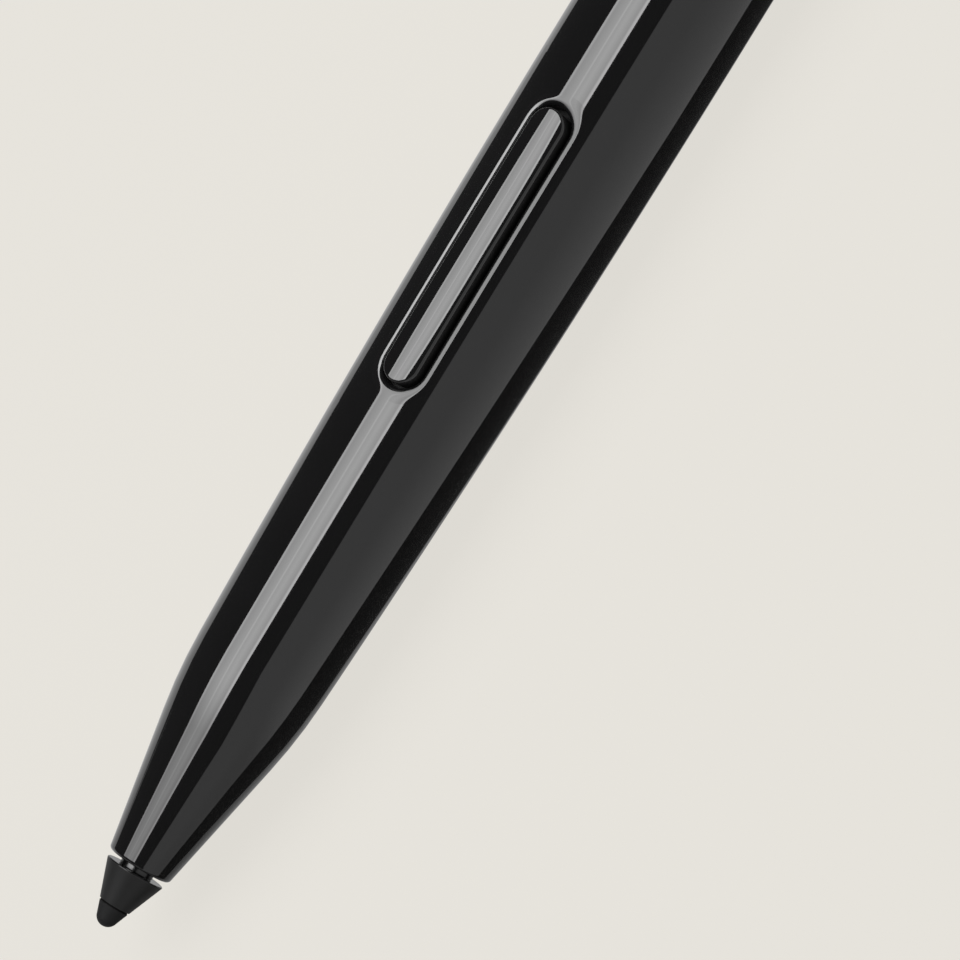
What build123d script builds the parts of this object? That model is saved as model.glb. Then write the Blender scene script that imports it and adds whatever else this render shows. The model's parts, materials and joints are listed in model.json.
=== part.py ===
from build123d import *
import os
from math import acos, atan2, cos, hypot, pi, sin, sqrt

# Active stylus pen, in millimetres. The pen lies along X with its nib towards -X and its key facing +Z.
# Stations are counted along X from the very end of the nib, and radii from the pen's axis.

# Clearances, shared by all pieces
SEAT_CLEARANCE = 0.03
RUNNING_CLEARANCE = 0.06
END_CLEARANCE = 0.05
CUT_OVERRUN = 1.0

# Nib: a small rounded tip in a conical body that pushes onto the stem's pin
TIP_BALL_RADIUS = 0.78
TIP_LENGTH = 1.48
TIP_REAR_RADIUS = 1.085
TIP_SPIGOT_RADIUS = 0.5
TIP_SPIGOT_LENGTH = 0.7
CONE_LENGTH = 2.77
CONE_FRONT_RADIUS = 1.1
CONE_REAR_RADIUS = 2.15
CONE_EDGE_RADIUS = 0.1
NIB_GAP = 0.43

# Stem: neck in the nose, shaft in the bush, collar behind the bush
STEM_PIN_RADIUS = 0.65
STEM_PIN_LENGTH = 1.5
STEM_NECK_RADIUS = 1.225
STEM_NECK_LENGTH = 4.4
STEM_NECK_EDGE = 0.12
STEM_SHAFT_RADIUS = 0.75
NIB_TRAVEL = 0.3
COLLAR_RADIUS = 2.2
COLLAR_LENGTH = 0.9

# Barrel: conical nose, blended shoulder, long shallow arc to the belly, then straight to the seam
NOSE_FRONT_RADIUS = 2.3
NOSE_EDGE_RADIUS = 0.33
NOSE_LENGTH = 12.7
NOSE_HOLE_CLEARANCE = 0.08
NOSE_BORE_RADIUS = 1.9
SHOULDER_RADIUS = 4.65
SHOULDER_BLEND_RADIUS = 38.0
TAPER_LENGTH = 55.0
BARREL_RADIUS = 5.75
SEAM_CHAMFER = 0.15

# Front bore: bush flange, electrode, spring and force sensor, one behind the other
FRONT_BORE_RADIUS = 3.4
FRONT_BORE_LEAD = 1.9
BUSH_FLANGE_LENGTH = 0.6
ELECTRODE_LENGTH = 5.9
ELECTRODE_WALL = 0.3
NIB_SPRING_RADIUS = 1.5
NIB_SPRING_WIRE = 0.3
NIB_SPRING_TURNS = 5
HOLDER_FRONT_WALL = 0.8
HOLDER_FRONT_ROOM = 1.8
HOLDER_FRONT_RADIUS = 1.6
SENSOR_RADIUS = 2.2
SENSOR_LENGTH = 1.6
SENSOR_PLUG_LENGTH = 1.8
SENSOR_PAD_RADIUS = 0.9
SENSOR_PAD_HEIGHT = 0.6
SENSOR_PAD_GAP = 0.5
SENSOR_PIN_RADIUS = 0.2
SENSOR_PIN_PITCH = 1.0
SENSOR_PIN_OVERLAP = 1.2

# Side key: pill-shaped, crowned, a little proud of the barrel, with a flange under the barrel's wall
KEY_SETBACK = 46.73
KEY_LENGTH = 20.8
KEY_WIDTH = 2.67
KEY_PROUD = 0.4
KEY_CROWN_RADIUS = 4.05
KEY_EDGE_RADIUS = 0.16
KEY_TRAVEL = 0.25
KEY_SIDE_CLEARANCE = 0.235
KEY_FLANGE_MARGIN = 0.75
KEY_FLANGE_UNDERSIDE = 3.2
KEY_POST_RADIUS = 0.7
SLOT_EDGE_RADIUS = 0.38
SLOT_REAR_ROOM = 0.1

# Switch under the key
SWITCH_LENGTH = 4.2
SWITCH_WIDTH = 3.2
SWITCH_HEIGHT = 1.5
PLUNGER_RADIUS = 0.8
PLUNGER_HEIGHT = 0.5
PLUNGER_DEPTH = 0.3

# Chassis and board
CHASSIS_CLEARANCE = 0.06
CHASSIS_LENGTH = 47.0
CHASSIS_SHELL = 0.7
CHASSIS_END_WALL = 1.0
BOARD_WIDTH = 7.9
BOARD_THICKNESS = 0.8
BOARD_TOP = 0.4
BOARD_END_GAP = 0.3
SCREW_SETBACK = 4.5
SCREW_RADIUS = 0.5
SCREW_LENGTH = 2.0
SCREW_HEAD_RADIUS = 0.95
SCREW_HEAD_HEIGHT = 0.55
SCREW_DRIVE_WIDTH = 0.35
SCREW_DRIVE_DEPTH = 0.25
BOSS_WALL = 0.55
CONTROLLER_SIZE = 5.0
CONTROLLER_HEIGHT = 0.85
RADIO_SIZE = 4.0
RADIO_HEIGHT = 0.75
COIL_SIZE = 3.0
COIL_HEIGHT = 1.6
CAPACITOR_LENGTH = 1.6
CAPACITOR_WIDTH = 0.8
CAPACITOR_HEIGHT = 0.7
CAPACITOR_PITCH = 1.7
CAPACITOR_COUNT = 3
CHIP_EDGE = 0.08

# Battery, its contacts and the return strip
CELL_RADIUS = 4.15
CELL_LENGTH = 41.8
CELL_EDGE_RADIUS = 0.5
CELL_CLEARANCE = 0.2
NUB_RADIUS = 1.9
NUB_LENGTH = 0.7
NUB_EDGE_RADIUS = 0.25
CONTACT_ROOM = 1.9
CONTACT_THICKNESS = 0.2
CONTACT_WIDTH = 2.4
CONTACT_TAB_LENGTH = 2.0
CONTACT_BEND_RADIUS = 0.4
CONTACT_DROP = 1.4
STRIP_WIDTH = 3.0
STRIP_THICKNESS = 0.2
STRIP_DEPTH = 0.3
STRIP_LEAD = 3.5

# Rear cap with its threaded collar, seal, contact plate and spring
CAP_LENGTH = 19.0
CAP_STRAIGHT_LENGTH = 7.0
CAP_END_RADIUS = 2.5
CAP_END_EDGE_RADIUS = 0.9
CAP_HOLLOW_RADIUS = 2.9
CAP_END_WALL = 3.4
CAP_PLUG_RADIUS = 4.3
CAP_PLUG_LENGTH = 5.0
INSERT_RADIUS = 5.1
INSERT_LENGTH = 5.5
THREAD_RADIUS = 4.6
THREAD_LENGTH = 3.8
COLLAR_BORE_RADIUS = 3.5
COLLAR_REAR_BORE_RADIUS = 2.8
SEAL_WIRE_RADIUS = 0.28
SEAL_SETBACK = 0.75
SEAL_GROOVE_WIDTH = 0.8
PLATE_THICKNESS = 0.5
CAP_SPRING_LENGTH = 7.6
CAP_SPRING_FRONT_RADIUS = 2.0
CAP_SPRING_REAR_RADIUS = 2.95
CAP_SPRING_WIRE = 0.5
CAP_SPRING_TURNS = 5

# Stations along the pen, worked out from the sizes above
CONE_REAR = TIP_LENGTH + CONE_LENGTH
NOSE_FRONT = CONE_REAR + NIB_GAP
SHOULDER = NOSE_FRONT + NOSE_LENGTH
BELLY = SHOULDER + TAPER_LENGTH
NECK_REAR = CONE_REAR + STEM_NECK_LENGTH
BUSH_FRONT = NECK_REAR + NIB_TRAVEL + END_CLEARANCE + END_CLEARANCE
BUSH_FLANGE_FRONT = SHOULDER - FRONT_BORE_LEAD
BUSH_REAR = BUSH_FLANGE_FRONT + BUSH_FLANGE_LENGTH
COLLAR_FRONT = BUSH_REAR + END_CLEARANCE
COLLAR_REAR = COLLAR_FRONT + COLLAR_LENGTH
HOLDER_FRONT = BUSH_REAR + ELECTRODE_LENGTH
SENSOR_FRONT = HOLDER_FRONT + HOLDER_FRONT_WALL + HOLDER_FRONT_ROOM
SENSOR_REAR = SENSOR_FRONT + SENSOR_LENGTH
STEM_REAR = SENSOR_FRONT - SENSOR_PAD_HEIGHT - SENSOR_PAD_GAP
CHASSIS_FRONT = SENSOR_REAR + SENSOR_PLUG_LENGTH
CHASSIS_REAR = CHASSIS_FRONT + CHASSIS_LENGTH
BOARD_FRONT = CHASSIS_FRONT + CHASSIS_END_WALL + BOARD_END_GAP
BOARD_REAR = CHASSIS_REAR - CHASSIS_END_WALL - BOARD_END_GAP
KEY_STATION = NOSE_FRONT + KEY_SETBACK
NUB_FRONT = CHASSIS_REAR + CONTACT_ROOM
CELL_FRONT = NUB_FRONT + NUB_LENGTH
CELL_REAR = CELL_FRONT + CELL_LENGTH
SEAM = CELL_REAR + CAP_SPRING_LENGTH
INSERT_FRONT = SEAM - INSERT_LENGTH
STRIP_FRONT = CHASSIS_REAR - STRIP_LEAD
PEN_LENGTH = SEAM + CAP_LENGTH
SCREW_STATIONS = (BOARD_FRONT + SCREW_SETBACK, BOARD_REAR - SCREW_SETBACK)

# Radii and heights, worked out from the sizes above
MAIN_BORE_RADIUS = CELL_RADIUS + CELL_CLEARANCE
CHASSIS_RADIUS = MAIN_BORE_RADIUS - CHASSIS_CLEARANCE
NOSE_HOLE_RADIUS = STEM_NECK_RADIUS + NOSE_HOLE_CLEARANCE
BOARD_UNDERSIDE = BOARD_TOP - BOARD_THICKNESS
SWITCH_TOP = BOARD_TOP + SWITCH_HEIGHT
PLUNGER_TOP = SWITCH_TOP + PLUNGER_HEIGHT
STRIP_BOTTOM = -MAIN_BORE_RADIUS - STRIP_DEPTH - STRIP_THICKNESS
TAPER_DROP = BARREL_RADIUS - SHOULDER_RADIUS
TAPER_ARC_RADIUS = (TAPER_LENGTH**2 + TAPER_DROP**2) / (2 * TAPER_DROP)

# Half plane under the pen's axis: local x is the station and local y the radius, so every turned
# piece has its seam line opposite the key.
HALF_PLANE = Plane(origin=(0, 0, 0), x_dir=(1, 0, 0), z_dir=(0, 1, 0))
# Upright plane through the pen's axis: local x is the station and local y the height.
SIDE_PLANE = Plane.XZ


def turned(outline):
    """Solid of revolution about the pen's axis from a closed outline of stations and radii."""
    return revolve(HALF_PLANE * make_face(outline), Axis.X)


def turned_steps(*points):
    """Turned piece whose outline is straight between its points."""
    return turned(Polyline(*points, close=True))


def ring(front, rear, inner, outer):
    """Plain tube, or a disc where the inner radius is zero."""
    return turned_steps((front, inner), (front, outer), (rear, outer), (rear, inner))


def rounded_at(face, corner, radius):
    """Round one corner of a flat outline."""
    return fillet(face.vertices().sort_by_distance(Vector(*corner))[0], radius)


def block(front, rear, width, low, high):
    """Box centred across the pen, between two stations and two heights."""
    return Pos((front + rear) / 2, 0, (low + high) / 2) * Box(rear - front, width, high - low)


def upright(station, across, low, high, radius):
    """Vertical round bar between two heights."""
    return Pos(station, across, (low + high) / 2) * Cylinder(radius, high - low)


def barrel_radius_at(station):
    """Outer radius of the barrel's shallow arc."""
    run = BELLY - station
    return BARREL_RADIUS - TAPER_ARC_RADIUS + sqrt(TAPER_ARC_RADIUS**2 - run**2)


def off_axis(point):
    """Distance of a point from the pen's axis."""
    return hypot(point.Y, point.Z)


def coil(front, rear, front_radius, rear_radius, turns, wire_radius):
    """Open coil about the pen's axis: one tube swept along two tangent arcs for each quarter turn."""
    quarters = 4 * turns
    advance = (rear - front) / quarters
    spread = (rear_radius - front_radius) / quarters

    def point(k):
        reach = front_radius + spread * k
        angle = k * pi / 2
        return Vector(front + advance * k, reach * cos(angle), reach * sin(angle))

    def heading(k):
        reach = front_radius + spread * k
        angle = k * pi / 2
        swing = reach * pi / 2
        across = spread * cos(angle) - swing * sin(angle)
        along = spread * sin(angle) + swing * cos(angle)
        return Vector(advance, across, along).normalized()

    edges = []
    for k in range(quarters):
        first, last = point(k), point(k + 1)
        start, finish = heading(k), heading(k + 1)
        chord = last - first
        bend = 2 * (1 - start.dot(finish))
        lean = chord.dot(start + finish)
        reach = (sqrt(lean**2 + bend * chord.dot(chord)) - lean) / bend
        middle = (first + last + (start - finish) * reach) * 0.5
        edges.append(TangentArc(first, middle, tangent=start))
        edges.append(TangentArc(last, middle, tangent=finish * -1))
    section = Plane(origin=point(0), z_dir=heading(0)) * Circle(wire_radius)
    return sweep(section, path=Wire(edges))


# Nib

def nib_tip():
    """Ball end, short tangent cone and the spigot that holds it in the nib's body."""
    run = TIP_LENGTH - TIP_BALL_RADIUS
    angle = atan2(TIP_REAR_RADIUS, run) + acos(TIP_BALL_RADIUS / hypot(run, TIP_REAR_RADIUS))
    touch = (TIP_BALL_RADIUS * (1 + cos(angle)), TIP_BALL_RADIUS * sin(angle))
    half = (angle + pi) / 2
    on_ball = (TIP_BALL_RADIUS * (1 + cos(half)), TIP_BALL_RADIUS * sin(half))
    spigot_rear = TIP_LENGTH + TIP_SPIGOT_LENGTH
    outline = ThreePointArc((0, 0), on_ball, touch) + Polyline(
        touch,
        (TIP_LENGTH, TIP_REAR_RADIUS),
        (TIP_LENGTH, TIP_SPIGOT_RADIUS),
        (spigot_rear, TIP_SPIGOT_RADIUS),
        (spigot_rear, 0),
        (0, 0),
    )
    return turned(outline)


def nib_cone():
    """Conical nib body with the tip's hole in front and the stem's socket behind."""
    hole = TIP_SPIGOT_RADIUS + SEAT_CLEARANCE
    hole_rear = TIP_LENGTH + TIP_SPIGOT_LENGTH + END_CLEARANCE
    socket = STEM_PIN_RADIUS + RUNNING_CLEARANCE
    socket_front = CONE_REAR - STEM_PIN_LENGTH - END_CLEARANCE
    rim = (CONE_REAR, CONE_REAR_RADIUS)
    face = make_face(
        Polyline(
            (TIP_LENGTH, hole),
            (TIP_LENGTH, CONE_FRONT_RADIUS),
            rim,
            (CONE_REAR, socket),
            (socket_front, socket),
            (socket_front, 0),
            (hole_rear, 0),
            (hole_rear, hole),
            close=True,
        )
    )
    return revolve(HALF_PLANE * rounded_at(face, rim, CONE_EDGE_RADIUS), Axis.X)


# Stem and its guide in the nose

def nib_stem():
    """Turned pin: nib pin, polished neck and long shaft up to the sensor."""
    neck_front = CONE_REAR + SEAT_CLEARANCE
    return turned_steps(
        (CONE_REAR - STEM_PIN_LENGTH, 0),
        (CONE_REAR - STEM_PIN_LENGTH, STEM_PIN_RADIUS),
        (neck_front, STEM_PIN_RADIUS),
        (neck_front, STEM_NECK_RADIUS),
        (NECK_REAR - STEM_NECK_EDGE, STEM_NECK_RADIUS),
        (NECK_REAR, STEM_NECK_RADIUS - STEM_NECK_EDGE),
        (NECK_REAR, STEM_SHAFT_RADIUS),
        (STEM_REAR, STEM_SHAFT_RADIUS),
        (STEM_REAR, 0),
    )


def stem_collar():
    """Collar fixed on the shaft; it stops the stem on the bush and carries the spring."""
    return ring(COLLAR_FRONT, COLLAR_REAR, STEM_SHAFT_RADIUS + SEAT_CLEARANCE, COLLAR_RADIUS)


def nose_bush():
    """Flanged guide bush of the shaft."""
    bore = STEM_SHAFT_RADIUS + RUNNING_CLEARANCE
    body = NOSE_BORE_RADIUS - SEAT_CLEARANCE
    flange = FRONT_BORE_RADIUS - SEAT_CLEARANCE
    return turned_steps(
        (BUSH_FRONT, bore),
        (BUSH_FRONT, body),
        (BUSH_FLANGE_FRONT, body),
        (BUSH_FLANGE_FRONT, flange),
        (BUSH_REAR, flange),
        (BUSH_REAR, bore),
    )


def ring_electrode():
    """Thin metal sleeve between the bush's flange and the sensor's holder."""
    outer = FRONT_BORE_RADIUS - SEAT_CLEARANCE
    return ring(BUSH_REAR, HOLDER_FRONT, outer - ELECTRODE_WALL, outer)


def nib_spring():
    """Return spring of the nib, round the shaft between the collar and the sensor's holder."""
    wire = NIB_SPRING_WIRE / 2
    front = COLLAR_REAR + wire + SEAT_CLEARANCE
    rear = HOLDER_FRONT - wire - SEAT_CLEARANCE
    return coil(front, rear, NIB_SPRING_RADIUS, NIB_SPRING_RADIUS, NIB_SPRING_TURNS, wire)


# Force sensor

def sensor_holder():
    """Cup that holds the force sensor behind the shaft's end."""
    outer = FRONT_BORE_RADIUS - SEAT_CLEARANCE
    hole = STEM_SHAFT_RADIUS + RUNNING_CLEARANCE
    pocket_front = HOLDER_FRONT + HOLDER_FRONT_WALL
    return turned_steps(
        (HOLDER_FRONT, hole),
        (HOLDER_FRONT, outer),
        (CHASSIS_FRONT, outer),
        (CHASSIS_FRONT, SENSOR_RADIUS),
        (SENSOR_FRONT, SENSOR_RADIUS),
        (SENSOR_FRONT, HOLDER_FRONT_RADIUS),
        (pocket_front, HOLDER_FRONT_RADIUS),
        (pocket_front, hole),
    )


def force_sensor():
    """Round sensor can."""
    return ring(SENSOR_FRONT, SENSOR_REAR, 0, SENSOR_RADIUS - SEAT_CLEARANCE)


def sensor_pad():
    """Soft dome on the sensor's face, opposite the shaft's end: part of a ball."""
    ball = (SENSOR_PAD_RADIUS**2 + SENSOR_PAD_HEIGHT**2) / (2 * SENSOR_PAD_HEIGHT)
    peak = SENSOR_FRONT - SENSOR_PAD_HEIGHT
    half = atan2(SENSOR_PAD_RADIUS, ball - SENSOR_PAD_HEIGHT) / 2
    on_ball = (peak + ball - ball * cos(half), ball * sin(half))
    outline = ThreePointArc((peak, 0), on_ball, (SENSOR_FRONT, SENSOR_PAD_RADIUS)) + Polyline(
        (SENSOR_FRONT, SENSOR_PAD_RADIUS),
        (SENSOR_FRONT, 0),
        (peak, 0),
    )
    return turned(outline)


def sensor_pin_places():
    """Places of the sensor's leads across the pen."""
    return [SENSOR_PIN_PITCH * k for k in (-1, 0, 1)]


def sensor_pin_height():
    """Height of the leads' centre lines, just on the board."""
    return BOARD_TOP + SENSOR_PIN_RADIUS + SEAT_CLEARANCE


def along_axis(front, rear, across, height, radius):
    """Round bar parallel to the pen's axis."""
    place = Pos((front + rear) / 2, across, height) * Rot(0, 90, 0)
    return place * Cylinder(radius, rear - front)


def sensor_pins():
    """Leads from the sensor's back onto the board."""
    rear = BOARD_FRONT + SENSOR_PIN_OVERLAP
    height = sensor_pin_height()
    bars = [along_axis(SENSOR_REAR, rear, y, height, SENSOR_PIN_RADIUS) for y in sensor_pin_places()]
    return Compound(bars)


# Side key and its switch

def slot_prism(length, width, low, high):
    """Upright pill-shaped bar at the key's place."""
    return Pos(KEY_STATION, 0, low) * extrude(SlotOverall(length, width), amount=high - low)


def side_key():
    """Crowned key, its flange under the barrel's wall and the post that meets the switch."""
    crest = barrel_radius_at(KEY_STATION) + KEY_PROUD
    crown_axis = crest - KEY_CROWN_RADIUS
    stations = [KEY_STATION + KEY_LENGTH * k for k in (-1, 0, 1)]
    ridge = [(s, barrel_radius_at(s) + KEY_PROUD - crown_axis) for s in stations]
    section = ThreePointArc(*ridge) + Polyline(ridge[2], (stations[2], 0), (stations[0], 0), ridge[0])
    crown_plane = Plane(origin=(0, 0, crown_axis), x_dir=(1, 0, 0), z_dir=(0, 1, 0))
    crown = revolve(crown_plane * make_face(section), Axis((0, 0, crown_axis), (1, 0, 0)))
    top = BARREL_RADIUS + KEY_PROUD + CUT_OVERRUN
    body = slot_prism(KEY_LENGTH, KEY_WIDTH, KEY_FLANGE_UNDERSIDE, top) & crown
    rim = [e for e in body.edges() if (e @ 0.5).Z > (KEY_FLANGE_UNDERSIDE + crest) / 2]
    rim = [e for e in rim if abs((e @ 0).Z - (e @ 1).Z) < KEY_EDGE_RADIUS]
    body = fillet(rim, KEY_EDGE_RADIUS)

    margin = KEY_SIDE_CLEARANCE + KEY_FLANGE_MARGIN
    flange = slot_prism(KEY_LENGTH + 2 * margin, KEY_WIDTH + 2 * margin, KEY_FLANGE_UNDERSIDE, top)
    flange &= ring(0, PEN_LENGTH, 0, MAIN_BORE_RADIUS - RUNNING_CLEARANCE)
    post_low = PLUNGER_TOP + SEAT_CLEARANCE
    return body + flange + upright(KEY_STATION, 0, post_low, KEY_FLANGE_UNDERSIDE, KEY_POST_RADIUS)


def switch_body():
    """Tactile switch under the key's post, with the plunger's hole."""
    body = block(
        KEY_STATION - SWITCH_LENGTH / 2,
        KEY_STATION + SWITCH_LENGTH / 2,
        SWITCH_WIDTH,
        BOARD_TOP,
        SWITCH_TOP,
    )
    hole_low = SWITCH_TOP - PLUNGER_DEPTH - KEY_TRAVEL - RUNNING_CLEARANCE
    hole_radius = PLUNGER_RADIUS + RUNNING_CLEARANCE
    return body - upright(KEY_STATION, 0, hole_low, SWITCH_TOP + CUT_OVERRUN, hole_radius)


def switch_plunger():
    """Plunger of the switch, which goes down with the key."""
    return upright(KEY_STATION, 0, SWITCH_TOP - PLUNGER_DEPTH, PLUNGER_TOP, PLUNGER_RADIUS)


# Barrel

def barrel():
    """One moulding with stepped bores, the key's slot and the groove of the return strip."""
    hole_front = (NOSE_FRONT, NOSE_HOLE_RADIUS)
    nose = (NOSE_FRONT, NOSE_FRONT_RADIUS)
    shoulder = (SHOULDER, SHOULDER_RADIUS)
    belly = (BELLY, BARREL_RADIUS)
    barrel_rear = SEAM - END_CLEARANCE
    outside = Polyline(hole_front, nose, shoulder) + TangentArc(belly, shoulder, tangent=(-1, 0))
    inside = Polyline(
        belly,
        (barrel_rear - SEAM_CHAMFER, BARREL_RADIUS),
        (barrel_rear, BARREL_RADIUS - SEAM_CHAMFER),
        (barrel_rear, INSERT_RADIUS),
        (INSERT_FRONT, INSERT_RADIUS),
        (INSERT_FRONT, MAIN_BORE_RADIUS),
        (CHASSIS_FRONT, MAIN_BORE_RADIUS),
        (CHASSIS_FRONT, FRONT_BORE_RADIUS),
        (BUSH_FLANGE_FRONT, FRONT_BORE_RADIUS),
        (BUSH_FLANGE_FRONT, NOSE_BORE_RADIUS),
        (BUSH_FRONT - END_CLEARANCE, NOSE_BORE_RADIUS),
        (BUSH_FRONT - END_CLEARANCE, NOSE_HOLE_RADIUS),
        hole_front,
    )
    face = make_face(outside + inside)
    face = rounded_at(face, shoulder, SHOULDER_BLEND_RADIUS)
    face = rounded_at(face, nose, NOSE_EDGE_RADIUS)
    shell = revolve(HALF_PLANE * face, Axis.X)

    slot_length = KEY_LENGTH + 2 * KEY_SIDE_CLEARANCE + SLOT_REAR_ROOM
    slot_width = KEY_WIDTH + 2 * KEY_SIDE_CLEARANCE
    slot = slot_prism(slot_length, slot_width, 0, BARREL_RADIUS + CUT_OVERRUN)
    shell -= Pos(SLOT_REAR_ROOM / 2, 0, 0) * slot
    wall_middle = (MAIN_BORE_RADIUS + barrel_radius_at(KEY_STATION)) / 2
    slot_edges = [
        e
        for e in shell.edges()
        if (e @ 0.5).Z > 0
        and abs((e @ 0.5).X - KEY_STATION) < slot_length
        and off_axis(e @ 0.5) > wall_middle
        and off_axis(e @ 0) > wall_middle
        and off_axis(e @ 1) > wall_middle
    ]
    shell = fillet(slot_edges, SLOT_EDGE_RADIUS)

    groove_width = STRIP_WIDTH + 2 * RUNNING_CLEARANCE
    groove_front = STRIP_FRONT - RUNNING_CLEARANCE
    groove_low = STRIP_BOTTOM - SEAT_CLEARANCE
    groove_high = CHASSIS_SHELL - CHASSIS_RADIUS
    return shell - block(groove_front, INSERT_FRONT, groove_width, groove_low, groove_high)


# Chassis and board

def chassis():
    """Half-round carrier with end walls, board bosses and the plug behind the force sensor."""
    shell = ring(CHASSIS_FRONT, CHASSIS_REAR, CHASSIS_RADIUS - CHASSIS_SHELL, CHASSIS_RADIUS)
    shell -= block(CHASSIS_FRONT, CHASSIS_REAR, 2 * CHASSIS_RADIUS, BOARD_UNDERSIDE, CHASSIS_RADIUS)
    front_wall = ring(CHASSIS_FRONT, CHASSIS_FRONT + CHASSIS_END_WALL, 0, CHASSIS_RADIUS)
    rear_wall = ring(CHASSIS_REAR - CHASSIS_END_WALL, CHASSIS_REAR, 0, CHASSIS_RADIUS)
    plug = ring(SENSOR_REAR + SEAT_CLEARANCE, CHASSIS_FRONT, 0, SENSOR_RADIUS - RUNNING_CLEARANCE)
    body = shell + front_wall + rear_wall + plug

    boss_low = CHASSIS_SHELL / 2 - CHASSIS_RADIUS
    for station in SCREW_STATIONS:
        body += upright(station, 0, boss_low, BOARD_UNDERSIDE, SCREW_RADIUS + BOSS_WALL)
    for station in SCREW_STATIONS:
        pilot_low = BOARD_UNDERSIDE - SCREW_LENGTH - END_CLEARANCE
        pilot_radius = SCREW_RADIUS + SEAT_CLEARANCE
        body -= upright(station, 0, pilot_low, BOARD_UNDERSIDE + CUT_OVERRUN, pilot_radius)
    for across in sensor_pin_places():
        lead_rear = CHASSIS_FRONT + CHASSIS_END_WALL + CUT_OVERRUN
        lead_radius = SENSOR_PIN_RADIUS + RUNNING_CLEARANCE
        body -= along_axis(SENSOR_REAR, lead_rear, across, sensor_pin_height(), lead_radius)

    contact_low = BOARD_TOP
    contact_high = BOARD_TOP + CONTACT_THICKNESS + 2 * RUNNING_CLEARANCE
    contact_width = CONTACT_WIDTH + 2 * RUNNING_CLEARANCE
    wall_front = CHASSIS_REAR - CHASSIS_END_WALL - CUT_OVERRUN
    body -= block(wall_front, CHASSIS_REAR + CUT_OVERRUN, contact_width, contact_low, contact_high)
    strip_width = STRIP_WIDTH + 2 * RUNNING_CLEARANCE
    strip_front = STRIP_FRONT - RUNNING_CLEARANCE
    strip_rear = STRIP_FRONT + STRIP_THICKNESS + RUNNING_CLEARANCE
    return body - block(strip_front, strip_rear, strip_width, -CHASSIS_RADIUS - CUT_OVERRUN, BOARD_UNDERSIDE)


def main_board():
    """Circuit board on the chassis's rims, with its screw holes."""
    board = block(BOARD_FRONT, BOARD_REAR, BOARD_WIDTH, BOARD_UNDERSIDE, BOARD_TOP)
    for station in SCREW_STATIONS:
        hole_radius = SCREW_RADIUS + RUNNING_CLEARANCE
        board -= upright(station, 0, BOARD_UNDERSIDE - CUT_OVERRUN, BOARD_TOP + CUT_OVERRUN, hole_radius)
    return board


def board_screws():
    """Slotted screws that hold the board on the chassis."""
    screws = []
    for station in SCREW_STATIONS:
        head_top = BOARD_TOP + SCREW_HEAD_HEIGHT
        screw = upright(station, 0, BOARD_TOP, head_top, SCREW_HEAD_RADIUS)
        screw += upright(station, 0, BOARD_UNDERSIDE - SCREW_LENGTH, BOARD_TOP, SCREW_RADIUS)
        screw -= block(
            station - SCREW_DRIVE_WIDTH / 2,
            station + SCREW_DRIVE_WIDTH / 2,
            2 * SCREW_HEAD_RADIUS + CUT_OVERRUN,
            head_top - SCREW_DRIVE_DEPTH,
            head_top + CUT_OVERRUN,
        )
        screws.append(screw)
    return Compound(screws)


def chip(station, length, width, height, low):
    """Moulded chip with eased vertical edges."""
    body = block(station - length / 2, station + length / 2, width, low, low + height)
    return chamfer(body.edges().filter_by(Axis.Z), CHIP_EDGE)


def switch_front():
    """Front end of the switch on the board."""
    return KEY_STATION - SWITCH_LENGTH / 2


def controller_chip():
    """Controller, between the front screw and the switch."""
    station = (SCREW_STATIONS[0] + SCREW_HEAD_RADIUS + switch_front()) / 2
    return chip(station, CONTROLLER_SIZE, CONTROLLER_SIZE, CONTROLLER_HEIGHT, BOARD_TOP)


def radio_chip():
    """Radio, between the switch and the rear screw."""
    station = (SCREW_STATIONS[1] - SCREW_HEAD_RADIUS + KEY_STATION + SWITCH_LENGTH / 2) / 2
    return chip(station, RADIO_SIZE, RADIO_SIZE, RADIO_HEIGHT, BOARD_TOP)


def boost_coil():
    """Voltage coil on the board's underside, opposite the switch."""
    return chip(KEY_STATION, COIL_SIZE, COIL_SIZE, COIL_HEIGHT, BOARD_UNDERSIDE - COIL_HEIGHT)


def board_capacitors():
    """Row of capacitors on the board's underside, in front of the coil."""
    first = KEY_STATION - COIL_SIZE / 2 - CAPACITOR_PITCH
    low = BOARD_UNDERSIDE - CAPACITOR_HEIGHT
    row = [
        chip(first - CAPACITOR_PITCH * k, CAPACITOR_WIDTH, CAPACITOR_LENGTH, CAPACITOR_HEIGHT, low)
        for k in range(CAPACITOR_COUNT)
    ]
    return Compound(row)


# Battery, contacts and return strip

def front_contact():
    """Bent leaf from the board, through the chassis's rear wall, to the battery's nub."""
    middle = BOARD_TOP + RUNNING_CLEARANCE + CONTACT_THICKNESS / 2
    tip = NUB_FRONT - CONTACT_THICKNESS
    root = CHASSIS_REAR + CONTACT_THICKNESS
    path = FilletPolyline(
        (BOARD_REAR - CONTACT_TAB_LENGTH, middle),
        (root, middle),
        (tip, middle - CONTACT_DROP),
        (root, middle - 2 * CONTACT_DROP),
        radius=CONTACT_BEND_RADIUS,
    )
    return extrude(SIDE_PLANE * trace(path, CONTACT_THICKNESS), amount=CONTACT_WIDTH / 2, both=True)


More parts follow.
